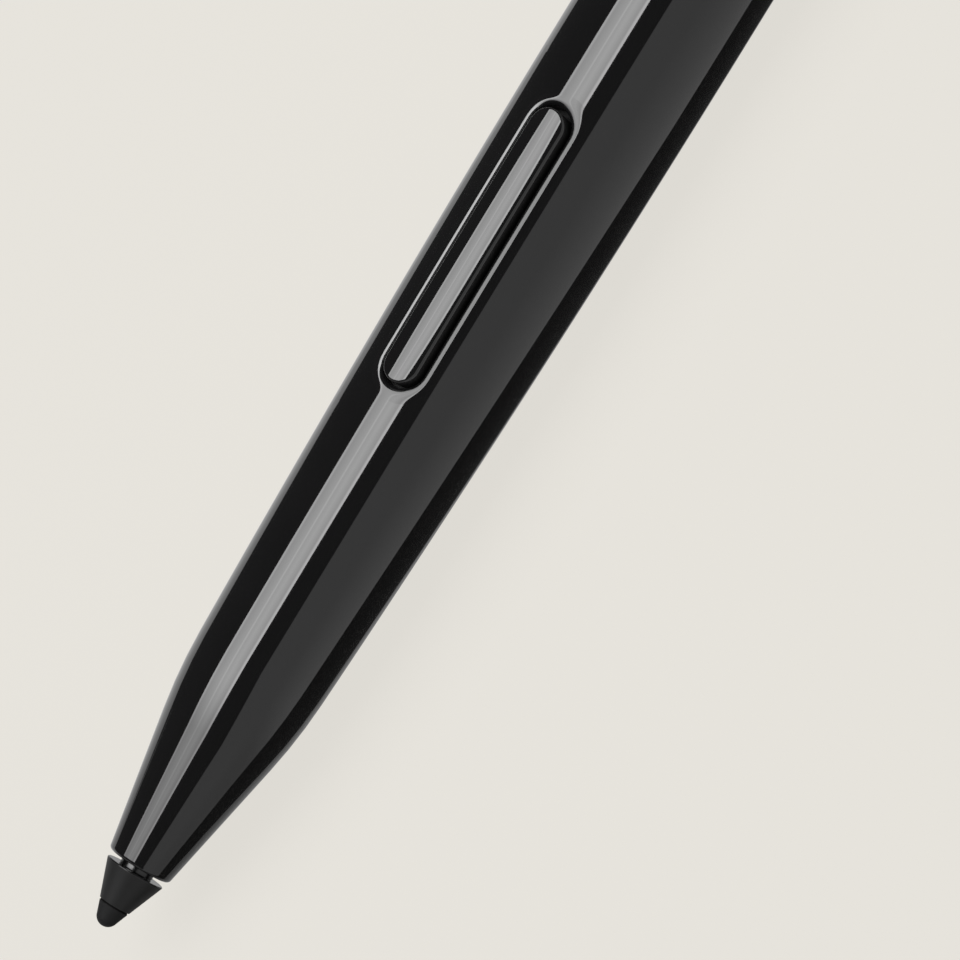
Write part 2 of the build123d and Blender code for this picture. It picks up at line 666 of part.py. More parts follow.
def battery_cell():
    """Slim round cell with its nub towards the nib."""
    nub_edge = (NUB_FRONT, NUB_RADIUS)
    front_edge = (CELL_FRONT, CELL_RADIUS)
    rear_edge = (CELL_REAR, CELL_RADIUS)
    face = make_face(
        Polyline(
            (NUB_FRONT, 0),
            nub_edge,
            (CELL_FRONT, NUB_RADIUS),
            front_edge,
            rear_edge,
            (CELL_REAR, 0),
            close=True,
        )
    )
    face = rounded_at(face, nub_edge, NUB_EDGE_RADIUS)
    face = rounded_at(face, front_edge, CELL_EDGE_RADIUS)
    face = rounded_at(face, rear_edge, CELL_EDGE_RADIUS)
    return revolve(HALF_PLANE * face, Axis.X)


def ground_strip():
    """Metal strip in the barrel's groove, with a leg up to the board's underside."""
    top = STRIP_BOTTOM + STRIP_THICKNESS
    leg_rear = STRIP_FRONT + STRIP_THICKNESS
    leg_top = BOARD_UNDERSIDE - SEAT_CLEARANCE
    strip_rear = INSERT_FRONT - SEAT_CLEARANCE
    outline = Polyline(
        (STRIP_FRONT, STRIP_BOTTOM),
        (strip_rear, STRIP_BOTTOM),
        (strip_rear, top),
        (leg_rear, top),
        (leg_rear, leg_top),
        (STRIP_FRONT, leg_top),
        close=True,
    )
    return extrude(SIDE_PLANE * make_face(outline), amount=STRIP_WIDTH / 2, both=True)


# Rear cap

def thread_insert():
    """Metal thread ring in the barrel's rear mouth."""
    return ring(INSERT_FRONT, SEAM - END_CLEARANCE, THREAD_RADIUS, INSERT_RADIUS - SEAT_CLEARANCE)


def rear_cap():
    """Hollow cap with a straight skirt and a tapering, rounded end."""
    skirt_rear = SEAM + CAP_STRAIGHT_LENGTH
    end_corner = (PEN_LENGTH, CAP_END_RADIUS)
    plug_rear = SEAM + CAP_PLUG_LENGTH
    hollow_rear = PEN_LENGTH - CAP_END_WALL
    outside = Polyline(
        (SEAM, CAP_PLUG_RADIUS),
        (SEAM, BARREL_RADIUS - SEAM_CHAMFER),
        (SEAM + SEAM_CHAMFER, BARREL_RADIUS),
        (skirt_rear, BARREL_RADIUS),
    )
    dome = TangentArc((skirt_rear, BARREL_RADIUS), end_corner, tangent=(1, 0))
    inside = Polyline(
        end_corner,
        (PEN_LENGTH, 0),
        (hollow_rear, 0),
        (hollow_rear, CAP_HOLLOW_RADIUS),
        (plug_rear, CAP_HOLLOW_RADIUS),
        (plug_rear, CAP_PLUG_RADIUS),
        (SEAM, CAP_PLUG_RADIUS),
    )
    face = rounded_at(make_face(outside + dome + inside), end_corner, CAP_END_EDGE_RADIUS)
    return revolve(HALF_PLANE * face, Axis.X)


def cap_collar():
    """Threaded metal collar pressed into the cap, with the seal's groove and the plate's seat."""
    crest = THREAD_RADIUS - RUNNING_CLEARANCE
    groove_floor = crest - 2 * SEAL_WIRE_RADIUS - RUNNING_CLEARANCE
    groove_rear = SEAM - SEAL_SETBACK + SEAL_GROOVE_WIDTH / 2
    groove_front = groove_rear - SEAL_GROOVE_WIDTH
    plug_rear = SEAM + CAP_PLUG_LENGTH - END_CLEARANCE
    plate_seat = SEAM + PLATE_THICKNESS
    plug = CAP_PLUG_RADIUS - SEAT_CLEARANCE
    return turned_steps(
        (SEAM - THREAD_LENGTH, COLLAR_BORE_RADIUS),
        (SEAM - THREAD_LENGTH, crest),
        (groove_front, crest),
        (groove_front, groove_floor),
        (groove_rear, groove_floor),
        (groove_rear, crest),
        (SEAM, crest),
        (SEAM, plug),
        (plug_rear, plug),
        (plug_rear, COLLAR_REAR_BORE_RADIUS),
        (plate_seat, COLLAR_REAR_BORE_RADIUS),
        (plate_seat, COLLAR_BORE_RADIUS),
    )


def cap_seal():
    """Sealing ring in the collar's groove."""
    centre = THREAD_RADIUS - RUNNING_CLEARANCE - SEAL_WIRE_RADIUS
    section = Pos(SEAM - SEAL_SETBACK, centre) * Circle(SEAL_WIRE_RADIUS)
    return revolve(HALF_PLANE * section, Axis.X)


def contact_plate():
    """Metal plate in the collar, seat of the contact spring."""
    return ring(SEAM, SEAM + PLATE_THICKNESS, 0, COLLAR_BORE_RADIUS - SEAT_CLEARANCE)


def cap_spring():
    """Tapered coil between the contact plate and the battery's flat end."""
    wire = CAP_SPRING_WIRE / 2
    front = CELL_REAR + wire + SEAT_CLEARANCE
    rear = SEAM - wire - SEAT_CLEARANCE
    return coil(front, rear, CAP_SPRING_FRONT_RADIUS, CAP_SPRING_REAR_RADIUS, CAP_SPRING_TURNS, wire)


PIECES = (
    barrel,
    nib_tip,
    nib_cone,
    nib_stem,
    stem_collar,
    nose_bush,
    ring_electrode,
    nib_spring,
    sensor_holder,
    force_sensor,
    sensor_pad,
    sensor_pins,
    side_key,
    switch_body,
    switch_plunger,
    chassis,
    main_board,
    board_screws,
    controller_chip,
    radio_chip,
    boost_coil,
    board_capacitors,
    front_contact,
    battery_cell,
    ground_strip,
    thread_insert,
    rear_cap,
    cap_collar,
    cap_seal,
    contact_plate,
    cap_spring,
)

# The pen lies on its barrel, with the origin under the middle of its length.
RESTING_PLACE = Pos(-PEN_LENGTH / 2, 0, BARREL_RADIUS)

os.makedirs("parts", exist_ok=True)
for piece in PIECES:
    export_step(RESTING_PLACE * piece(), f"parts/{piece.__name__}.step")
print("pen length", round(PEN_LENGTH, 3), "seam at", round(SEAM, 3), "belly at", round(BELLY, 3))
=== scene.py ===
import json
import math

import bpy
from mathutils import Matrix, Vector


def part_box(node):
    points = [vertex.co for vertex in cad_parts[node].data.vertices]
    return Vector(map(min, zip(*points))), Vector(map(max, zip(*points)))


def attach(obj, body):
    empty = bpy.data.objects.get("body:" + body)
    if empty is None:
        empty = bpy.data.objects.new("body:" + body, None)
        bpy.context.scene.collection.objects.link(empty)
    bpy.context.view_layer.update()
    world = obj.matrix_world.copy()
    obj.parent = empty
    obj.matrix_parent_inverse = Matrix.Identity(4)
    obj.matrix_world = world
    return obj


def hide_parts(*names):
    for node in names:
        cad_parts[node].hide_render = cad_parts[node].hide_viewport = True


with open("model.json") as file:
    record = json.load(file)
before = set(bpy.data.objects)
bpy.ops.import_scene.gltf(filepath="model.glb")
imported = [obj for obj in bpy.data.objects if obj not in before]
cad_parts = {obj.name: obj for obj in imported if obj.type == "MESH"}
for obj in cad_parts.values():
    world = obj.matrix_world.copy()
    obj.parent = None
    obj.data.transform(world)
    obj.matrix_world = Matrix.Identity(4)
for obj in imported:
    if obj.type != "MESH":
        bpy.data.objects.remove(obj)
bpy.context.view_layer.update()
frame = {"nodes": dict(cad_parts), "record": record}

# Shapes are in millimetres: stations along the pen from the nib's end, radii and heights from its axis
MM = 0.001
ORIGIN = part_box("nib_tip")[0].x
AXIS_HEIGHT = (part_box("barrel")[0].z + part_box("barrel")[1].z) / 2


def front_of(node):
    """Station of a node's front end."""
    return (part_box(node)[0].x - ORIGIN) / MM


def rear_of(node):
    """Station of a node's rear end."""
    return (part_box(node)[1].x - ORIGIN) / MM


def top_of(node):
    """Height of a node's top over the pen's axis."""
    return (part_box(node)[1].z - AXIS_HEIGHT) / MM


def in_row(station, across, height):
    """A point of the pen in the row frame, in metres."""
    return Vector((ORIGIN + station * MM, across * MM, AXIS_HEIGHT + height * MM))


# Fineness of the meshes, and small lengths that tell places apart
COLUMNS = 144
ARC_STEP = math.radians(6)
LEAST_ARC_STEPS = 3
TAPER_ROWS = 24
HALVINGS = 40
SMALL_STEP = 0.03
LEAST_SIZE = 0.001
MEETING_DISTANCE = 0.0001
WELD_DIGITS = 6

# Numbers of the further finishes that single faces take; 0 is the piece's own
OWN_FINISH = 0
NIB_BACK, NIB_SEAM_SHADE = 1, 2
SLOT_INSIDE, SLOT_LIP = 1, 2
KEY_INSIDE = 1

# Nib and stem
TIP_BALL_RADIUS = 0.78
TIP_REAR_RADIUS = 1.085
TIP_EDGE = 0.03
SPIGOT_RADIUS = 0.5
TIP_SEAM_WIDTH = 0.115
TIP_SEAM_DEPTH = 0.065
CONE_FRONT = front_of("nib_cone")
CONE_REAR = rear_of("nib_cone")
CONE_FRONT_RADIUS = 1.1
CONE_REAR_RADIUS = 2.15
CONE_FRONT_EDGE = 0.03
CONE_REAR_EDGE = 0.08
TIP_HOLE_RADIUS = 0.53
TIP_HOLE_GAP = 0.03
PIN_SOCKET_RADIUS = 0.71
PIN_SOCKET_DEPTH = 1.55
PIN_RADIUS = 0.65
PIN_EDGE = 0.12
NECK_GAP = 0.03
NECK_RADIUS = 1.225
NECK_LENGTH = 4.4
NECK_FRONT_EDGE = 0.03
NECK_REAR_EDGE = 0.12
SHAFT_RADIUS = 0.75

# Barrel
NOSE_FRONT = front_of("barrel")
BARREL_REAR = rear_of("barrel")
NOSE_FRONT_RADIUS = 2.3
NOSE_EDGE = 0.33
NOSE_LENGTH = 12.7
NOSE_HOLE_RADIUS = 1.305
BUSH_FRONT_GAP = 0.05
NOSE_HOLE_REAR = front_of("nose_bush") - BUSH_FRONT_GAP
NOSE_BORE_RADIUS = 1.9
FRONT_BORE_RADIUS = 3.4
BUSH_FLANGE_LENGTH = 0.6
FLANGE_SEAT = rear_of("nose_bush") - BUSH_FLANGE_LENGTH
SHOULDER_RADIUS = 4.65
SHOULDER_BLEND = 38.0
TAPER_LENGTH = 55.0
BARREL_RADIUS = AXIS_HEIGHT / MM
CHASSIS_SEAT = rear_of("sensor_holder")
MAIN_BORE_RADIUS = 4.35
INSERT_FRONT = front_of("thread_insert")
INSERT_RADIUS = 5.1
CAP_SEAM_CHAMFER = 0.15
STRIP_FRONT_GAP = 0.06
GROOVE_FRONT = front_of("ground_strip") - STRIP_FRONT_GAP
GROOVE_HALF_WIDTH = 1.56
GROOVE_DEPTH = 4.88
SHOULDER = NOSE_FRONT + NOSE_LENGTH
BELLY = SHOULDER + TAPER_LENGTH
TAPER_DROP = BARREL_RADIUS - SHOULDER_RADIUS
TAPER_ARC = (TAPER_LENGTH**2 + TAPER_DROP**2) / (2 * TAPER_DROP)

# Side key and its slot
KEY_STATION = (front_of("side_key") + rear_of("side_key")) / 2
KEY_LENGTH = 20.8
KEY_WIDTH = 2.67
KEY_PROUD = 0.4
KEY_CROWN_RADIUS = 3.87
KEY_END_CROWN_FALL = 0.72
KEY_END_CROWN_POWER = 4
KEY_CROWN_SHIFT = 0.045
KEY_EDGE_WIDTH = 0.16
KEY_EDGE_DROP = 0.16
KEY_SIDE_CLEARANCE = 0.235
KEY_FLANGE_MARGIN = 0.75
KEY_FLANGE_RADIUS = 4.29
KEY_FLANGE_UNDERSIDE = 3.2
KEY_POST_RADIUS = 0.7
KEY_POST_GAP = 0.03
KEY_POST_LOW = top_of("switch_plunger") + KEY_POST_GAP
SLOT_REAR_ROOM = 0.1
SPINE_HALF = (KEY_LENGTH - KEY_WIDTH) / 2
SLOT_HALF_WIDTH = KEY_WIDTH / 2 + KEY_SIDE_CLEARANCE
# Rolled lip of the slot: width and depth, and what its ends add by powers of the share towards +Y
SLOT_LIP_WIDTHS = (0.8, -0.01)
SLOT_LIP_DEPTH = 0.42
SLOT_LIP_EASE = 1.5
SLOT_FRONT_WIDTHS = (0.185, -0.375, 0.26)
SLOT_FRONT_DEPTHS = (-0.05, 0.055)
SLOT_REAR_WIDTHS = (0.05, -0.585, 0.615)
SLOT_REAR_DEPTHS = (0.045, 0.2)
PATCH_HALF_LENGTH = 14.0
PATCH_ROWS = 56
PATCH_COLUMNS = 19
LIP_STEPS = 12
# Shares at which rings lie, from the lip to the patch's border and from the key's spine to its edge
PATCH_SHARES = (0.1, 0.25, 0.45, 0.7)
KEY_TOP_SHARES = (0, 0.3, 0.6, 0.85)
PILL_STRAIGHT_STEPS = 36
PILL_END_STEPS = 32

# Rear cap and its collar
CAP_SEAM = front_of("rear_cap")
PEN_LENGTH = rear_of("rear_cap")
CAP_STRAIGHT = 7.0
CAP_END_RADIUS = 2.5
CAP_END_EDGE = 0.9
CAP_HOLLOW_RADIUS = 2.9
CAP_END_WALL = 3.4
CAP_PLUG_RADIUS = 4.3
CAP_PLUG_LENGTH = 5.0
THREAD_CREST = 4.54
THREAD_PITCH = 1.0
THREAD_DEPTH = 0.34
THREAD_ROWS_PER_PITCH = 16
THREAD_RUNOUT = 0.45
COLLAR_FRONT = front_of("cap_collar")
COLLAR_REAR = rear_of("cap_collar")
COLLAR_PLUG_RADIUS = 4.27
COLLAR_BORE_RADIUS = 3.5
COLLAR_REAR_BORE_RADIUS = 2.8
PLATE_SEAT = rear_of("contact_plate")
SEAL_STATION = (front_of("cap_seal") + rear_of("cap_seal")) / 2
SEAL_WIRE_RADIUS = (rear_of("cap_seal") - front_of("cap_seal")) / 2
SEAL_RADIUS = top_of("cap_seal") - SEAL_WIRE_RADIUS
SEAL_GROOVE_WIDTH = 0.8
SEAL_GROOVE_RADIUS = 3.92


# Outlines: lists of (station, radius, normal before, normal after), with the outside on their left

def unit(x, r):
    """Direction of a vector in the half plane."""
    size = math.hypot(x, r)
    return x / size, r / size


def left_of(direction):
    """Normal on the left of a direction."""
    return -direction[1], direction[0]


def turned_by(direction, angle):
    """A direction turned by an angle, to the left where it is positive."""
    c, s = math.cos(angle), math.sin(angle)
    return direction[0] * c - direction[1] * s, direction[0] * s + direction[1] * c


def turn_between(first, last):
    """Angle from one direction to another, positive to the left."""
    cross = first[0] * last[1] - first[1] * last[0]
    return math.atan2(cross, first[0] * last[0] + first[1] * last[1])


def arc_steps(turn):
    """Number of steps on a round stretch that turns by an angle."""
    return max(LEAST_ARC_STEPS, math.ceil(abs(turn) / ARC_STEP))


def path(*corners):
    """Straight runs through (station, radius, rounding) corners; a corner with no rounding is sharp."""
    headings = [unit(b[0] - a[0], b[1] - a[1]) for a, b in zip(corners, corners[1:])]
    headings = [headings[0]] + headings + [headings[-1]]
    points = []
    for corner, before, after in zip(corners, headings, headings[1:]):
        station, radius = corner[:2]
        rounding = corner[2] if len(corner) > 2 else 0
        first, last = left_of(before), left_of(after)
        if not rounding:
            points.append((station, radius, first, last))
            continue
        turn = turn_between(before, after)
        side = math.copysign(rounding, turn)
        reach = rounding * math.tan(abs(turn) / 2)
        centre = (
            station - before[0] * reach + first[0] * side,
            radius - before[1] * reach + first[1] * side,
        )
        steps = arc_steps(turn)
        for k in range(steps + 1):
            normal = turned_by(first, turn * k / steps)
            points.append((centre[0] - normal[0] * side, centre[1] - normal[1] * side, normal, normal))
    return points


def arc(centre, radius, first, last):
    """Points of a round stretch that bulges outwards, between two normals."""
    turn = turn_between(first, last)
    steps = arc_steps(turn)
    points = []
    for k in range(steps + 1):
        normal = turned_by(first, turn * k / steps)
        points.append((centre[0] + normal[0] * radius, centre[1] + normal[1] * radius, normal, normal))
    return points


def joined(*runs):
    """One outline from runs that follow each other; points that meet become one."""
    outline = []
    for run in runs:
        for point in run:
            met = outline and math.dist(outline[-1][:2], point[:2]) < MEETING_DISTANCE
            if met:
                point = outline.pop()[:3] + (point[3],)
            outline.append(point)
    return outline


class Skin:
    """Points and faces of one piece, with a normal for every corner of every face."""

    def __init__(self):
        self.points = []
        self.faces = []
        self.normals = []
        self.finishes = []
        self.finish = OWN_FINISH

    def ring(self, points):
        """Add points given in millimetres and return their numbers."""
        first = len(self.points)
        self.points.extend(points)
        return list(range(first, first + len(points)))

    def face(self, corners):
        """Add a face from (number, normal) corners; corners that repeat are left out."""
        kept = []
        for corner in corners:
            if corner[0] not in [k[0] for k in kept]:
                kept.append(corner)
        if len(kept) > 2:
            self.faces.append([k[0] for k in kept])
            self.normals.extend(k[1] for k in kept)
            self.finishes.append(self.finish)

    def strip(self, ring_a, normals_a, ring_b, normals_b, skipped=()):
        """Faces between two closed rings of as many points."""
        count = len(ring_a)
        for k in range(count):
            if k in skipped:
                continue
            n = (k + 1) % count
            self.face(
                [
                    (ring_a[k], normals_a[k]),
                    (ring_b[k], normals_b[k]),
                    (ring_b[n], normals_b[n]),
                    (ring_a[n], normals_a[n]),
                ]
            )

    def piece(self, name):
        """The finished mesh object, in the row frame."""
        mesh = bpy.data.meshes.new(name)
        mesh.from_pydata([in_row(*p) for p in self.points], [], self.faces)
        mesh.polygons.foreach_set("use_smooth", [True] * len(mesh.polygons))
        mesh.polygons.foreach_set("material_index", self.finishes)
        mesh.normals_split_custom_set(self.normals)
        mesh.update()
        piece = bpy.data.objects.new(name, mesh)
        bpy.context.scene.collection.objects.link(piece)
        return piece


def column_angle(k):
    """Angle of a column of points round the pen, from the key's side towards +Y."""
    return 2 * math.pi * k / COLUMNS


def around(normal):
    """A normal of the outline, carried round the pen's axis."""
    angles = [column_angle(k) for k in range(COLUMNS)]
    return [(normal[0], normal[1] * math.sin(a), normal[1] * math.cos(a)) for a in angles]


def turned_rows(skin, outline, shape=None):
    """Rings of a turned piece; shape can change a radius by station, radius and angle."""
    rows = []
    for station, radius, _, _ in outline:
        if radius == 0:
            rows.append(skin.ring([(station, 0, 0)]) * COLUMNS)
            continue
        points = []
        for k in range(COLUMNS):
            angle = column_angle(k)
            reach = shape(station, radius, angle) if shape else radius
            points.append((station, reach * math.sin(angle), reach * math.cos(angle)))
        rows.append(skin.ring(points))
    return rows


def turned_faces(skin, outline, rows, closed, skipped=None, auto=None, finish_at=None):
    """Faces of a turned piece between its rings.

    skipped chooses columns to leave out, auto the rows that are shaded by themselves, and finish_at
    gives the number of the finish that a row takes.
    """
    count = len(rows)
    for i in range(count if closed else count - 1):
        n = (i + 1) % count
        skin.finish = finish_at(outline[i], outline[n]) if finish_at else OWN_FINISH
        if auto and auto(outline[i], outline[n]):
            first = last = [(0, 0, 0)] * COLUMNS
        else:
            first, last = around(outline[i][3]), around(outline[n][2])
        left_out = skipped(i, n) if skipped else ()
        skin.strip(rows[i], first, rows[n], last, left_out)


def turned(name, outline, closed=False, shape=None, auto=None, finish_at=None):
    """Turned piece from an outline that starts and ends on the axis, or is closed."""
    skin = Skin()
    rows = turned_rows(skin, outline, shape)
    turned_faces(skin, outline, rows, closed, auto=auto, finish_at=finish_at)
    return skin.piece(name)


# Nib and stem

def tip_piece():
    """Ball end and short cone of the writing tip, with its spigot."""
    run = CONE_FRONT - TIP_BALL_RADIUS
    lean = math.atan2(TIP_REAR_RADIUS, run)
    touch = lean + math.acos(TIP_BALL_RADIUS / math.hypot(run, TIP_REAR_RADIUS))
    ball = arc((TIP_BALL_RADIUS, 0), TIP_BALL_RADIUS, (-1, 0), (math.cos(touch), math.sin(touch)))
    ball[0] = (0, 0) + ball[0][2:]
    spigot_rear = rear_of("nib_tip")
    back = path(
        ball[-1][:2],
        (CONE_FRONT, TIP_REAR_RADIUS, TIP_EDGE),
        (CONE_FRONT, SPIGOT_RADIUS),
        (spigot_rear, SPIGOT_RADIUS),
        (spigot_rear, 0),
    )
    return turned("writing_tip", joined(ball, back))


def cone_piece():
    """Conical nib body with the seam behind the tip, the tip's hole and the pin's socket."""
    hole_rear = rear_of("nib_tip") + TIP_HOLE_GAP
    socket_front = CONE_REAR - PIN_SOCKET_DEPTH
    seam_rear = CONE_FRONT + TIP_SEAM_WIDTH
    seam_radius = TIP_REAR_RADIUS - TIP_SEAM_DEPTH
    growth = (CONE_REAR_RADIUS - CONE_FRONT_RADIUS) / (CONE_REAR - CONE_FRONT)
    outline = path(
        (hole_rear, 0),
        (hole_rear, TIP_HOLE_RADIUS),
        (CONE_FRONT, TIP_HOLE_RADIUS),
        (CONE_FRONT, seam_radius),
        (seam_rear, seam_radius),
        (seam_rear, CONE_FRONT_RADIUS + growth * TIP_SEAM_WIDTH, CONE_FRONT_EDGE),
        (CONE_REAR, CONE_REAR_RADIUS, CONE_REAR_EDGE),
        (CONE_REAR, PIN_SOCKET_RADIUS),
        (socket_front, PIN_SOCKET_RADIUS),
        (socket_front, 0),
    )

    def finish_at(a, b):
        # The seam's faces take the painted shade of the seam
        if max(a[0], b[0]) < seam_rear + CONE_FRONT_EDGE / 2 and a[1] >= seam_radius:
            return NIB_SEAM_SHADE
        behind = min(a[0], b[0]) > CONE_REAR - CONE_REAR_EDGE and b[1] > PIN_SOCKET_RADIUS - SMALL_STEP
        return NIB_BACK if behind else OWN_FINISH

    return turned("nib_body_cone", outline, finish_at=finish_at)


def stem_piece():
    """Turned stem: pin, polished neck and shaft."""
    front = front_of("nib_stem")
    neck_front = CONE_REAR + NECK_GAP
    neck_rear = CONE_REAR + NECK_LENGTH
    rear = rear_of("nib_stem")
    outline = path(
        (front, 0),
        (front, PIN_RADIUS, PIN_EDGE),
        (neck_front, PIN_RADIUS),
        (neck_front, NECK_RADIUS, NECK_FRONT_EDGE),
        (neck_rear, NECK_RADIUS, NECK_REAR_EDGE),
        (neck_rear, SHAFT_RADIUS),
        (rear, SHAFT_RADIUS, PIN_EDGE),
        (rear, 0),
    )
    return turned("stem_pin", outline)


# Barrel

def barrel_radius_at(station):
    """Outer radius of the barrel behind its shoulder."""
    run = max(BELLY - station, 0)
    return BARREL_RADIUS - TAPER_ARC + math.sqrt(TAPER_ARC**2 - run**2)


def barrel_slope_at(station):
    """Growth of that radius along the pen."""
    run = max(BELLY - station, 0)
    return run / math.sqrt(TAPER_ARC**2 - run**2)


def steps_between(first, last, count):
    """Evenly spaced stations from first to last."""
    return [first + (last - first) * k / count for k in range(count + 1)]


def patch_stations():
    """Stations of the rows in the part of the barrel round the key's slot."""
    return steps_between(KEY_STATION - PATCH_HALF_LENGTH, KEY_STATION + PATCH_HALF_LENGTH, PATCH_ROWS)


def taper_run(stations):
    """Outline points on the barrel's long shallow arc."""
    points = []
    for station in stations:
        normal = unit(-barrel_slope_at(station), 1)
        points.append((station, barrel_radius_at(station), normal, normal))
    return points


def barrel_outline():
    """Closed outline of the barrel, from the nose's hole over the outside and back through the bores."""
    nose = (NOSE_FRONT, NOSE_FRONT_RADIUS)
    along = unit(NOSE_LENGTH, SHOULDER_RADIUS - NOSE_FRONT_RADIUS)
    out = left_of(along)
    taper_centre = (BELLY, BARREL_RADIUS - TAPER_ARC)
    start = [nose[i] - out[i] * SHOULDER_BLEND - taper_centre[i] for i in (0, 1)]
    lean = start[0] * along[0] + start[1] * along[1]
    reach = (TAPER_ARC - SHOULDER_BLEND) ** 2 - start[0] ** 2 - start[1] ** 2
    run = math.sqrt(lean**2 + reach) - lean
    blend_centre = [nose[i] - out[i] * SHOULDER_BLEND + along[i] * run for i in (0, 1)]
    blend_last = unit(blend_centre[0] - taper_centre[0], blend_centre[1] - taper_centre[1])
    blend_front = [blend_centre[i] + out[i] * SHOULDER_BLEND for i in (0, 1)]
    taper_front = blend_centre[0] + blend_last[0] * SHOULDER_BLEND
    patch = patch_stations()
    front = path((NOSE_FRONT, NOSE_HOLE_RADIUS), nose + (NOSE_EDGE,), tuple(blend_front))
    blend = arc(blend_centre, SHOULDER_BLEND, out, blend_last)
    taper = taper_run(steps_between(taper_front, patch[0], TAPER_ROWS) + patch[1:-1])
    rear_taper = taper_run(steps_between(patch[-1], BELLY, TAPER_ROWS))
    groove_end = GROOVE_FRONT - SMALL_STEP
    mouth = path(
        (BELLY, BARREL_RADIUS),
        (BARREL_REAR - CAP_SEAM_CHAMFER, BARREL_RADIUS),
        (BARREL_REAR, BARREL_RADIUS - CAP_SEAM_CHAMFER),
        (BARREL_REAR, INSERT_RADIUS),
        (INSERT_FRONT, INSERT_RADIUS),
        (INSERT_FRONT, MAIN_BORE_RADIUS),
        (GROOVE_FRONT, MAIN_BORE_RADIUS),
        (groove_end, MAIN_BORE_RADIUS),
    )
    bore = path(*[(s, MAIN_BORE_RADIUS) for s in [groove_end] + patch[::-1] + [CHASSIS_SEAT]])
    steps = path(
        (CHASSIS_SEAT, MAIN_BORE_RADIUS),
        (CHASSIS_SEAT, FRONT_BORE_RADIUS),
        (FLANGE_SEAT, FRONT_BORE_RADIUS),
        (FLANGE_SEAT, NOSE_BORE_RADIUS),
        (NOSE_HOLE_REAR, NOSE_BORE_RADIUS),
        (NOSE_HOLE_REAR, NOSE_HOLE_RADIUS),
        (NOSE_FRONT, NOSE_HOLE_RADIUS),
    )
    outline = joined(front, blend, taper, rear_taper, mouth, bore, steps)
    last = outline.pop()
    return [outline[0][:2] + (last[2], outline[0][3])] + outline[1:]


def bore_shape(station, radius, angle):
    """Radius of the bore with the groove of the return strip along its bottom."""
    in_groove = radius == MAIN_BORE_RADIUS and station >= GROOVE_FRONT
    down = -math.cos(angle)
    if in_groove and down > 0 and abs(math.tan(angle)) * GROOVE_DEPTH < GROOVE_HALF_WIDTH:
        return GROOVE_DEPTH / down
    return radius


def patch_border(rows, stations):
    """Numbers of the points round the patch, the way the rings of the slot go."""
    last = len(stations) - 1
    side = PATCH_COLUMNS
    border = [rows[i][-side] for i in range(last + 1)]
    border += [rows[last][k] for k in range(1 - side, side + 1)]
    border += [rows[i][side] for i in range(last - 1, -1, -1)]
    border += [rows[0][k] for k in range(side - 1, -side, -1)]
    return border


def off_spine(station, across):
    """Distance from the slot's spine and the direction away from it."""
    nearest = min(max(station, KEY_STATION - SPINE_HALF), KEY_STATION + SPINE_HALF + SLOT_REAR_ROOM)
    x, y = station - nearest, across
    size = max(math.hypot(x, y), LEAST_SIZE)
    return size, (x / size, y / size)


def by_powers(numbers, share):
    """Sum of numbers times rising powers of a share."""
    return sum(number * share**k for k, number in enumerate(numbers))


def lip_size(station, across):
    """Width and depth of the slot's rolled lip, which change round its ends."""
    along, sideways = off_spine(station, across)[1]
    widths = SLOT_REAR_WIDTHS if along > 0 else SLOT_FRONT_WIDTHS
    depths = SLOT_REAR_DEPTHS if along > 0 else SLOT_FRONT_DEPTHS
    width = by_powers(SLOT_LIP_WIDTHS, sideways) + along**2 * by_powers(widths, sideways)
    return width, SLOT_LIP_DEPTH + along**2 * by_powers(depths, sideways)


def lip_growth(station, across):
    """Growth of the lip's width and depth along the pen and across it."""
    step = SMALL_STEP
    ends = [lip_size(station + step, across), lip_size(station - step, across)]
    sides = [lip_size(station, across + step), lip_size(station, across - step)]
    return [[(pair[0][i] - pair[1][i]) / (2 * step) for pair in (ends, sides)] for i in (0, 1)]


def on_lip(start, end, reach):
    """Point between spine and border, at a share of the lip's width off the slot's wall."""
    low, high = 0.0, 1.0
    for _ in range(HALVINGS):
        middle = (low + high) / 2
        x = start[0] + (end[0] - start[0]) * middle
        y = end[1] * middle
        if off_spine(x, y)[0] < SLOT_HALF_WIDTH + lip_size(x, y)[0] * reach:
            low = middle
        else:
            high = middle
    return x, y


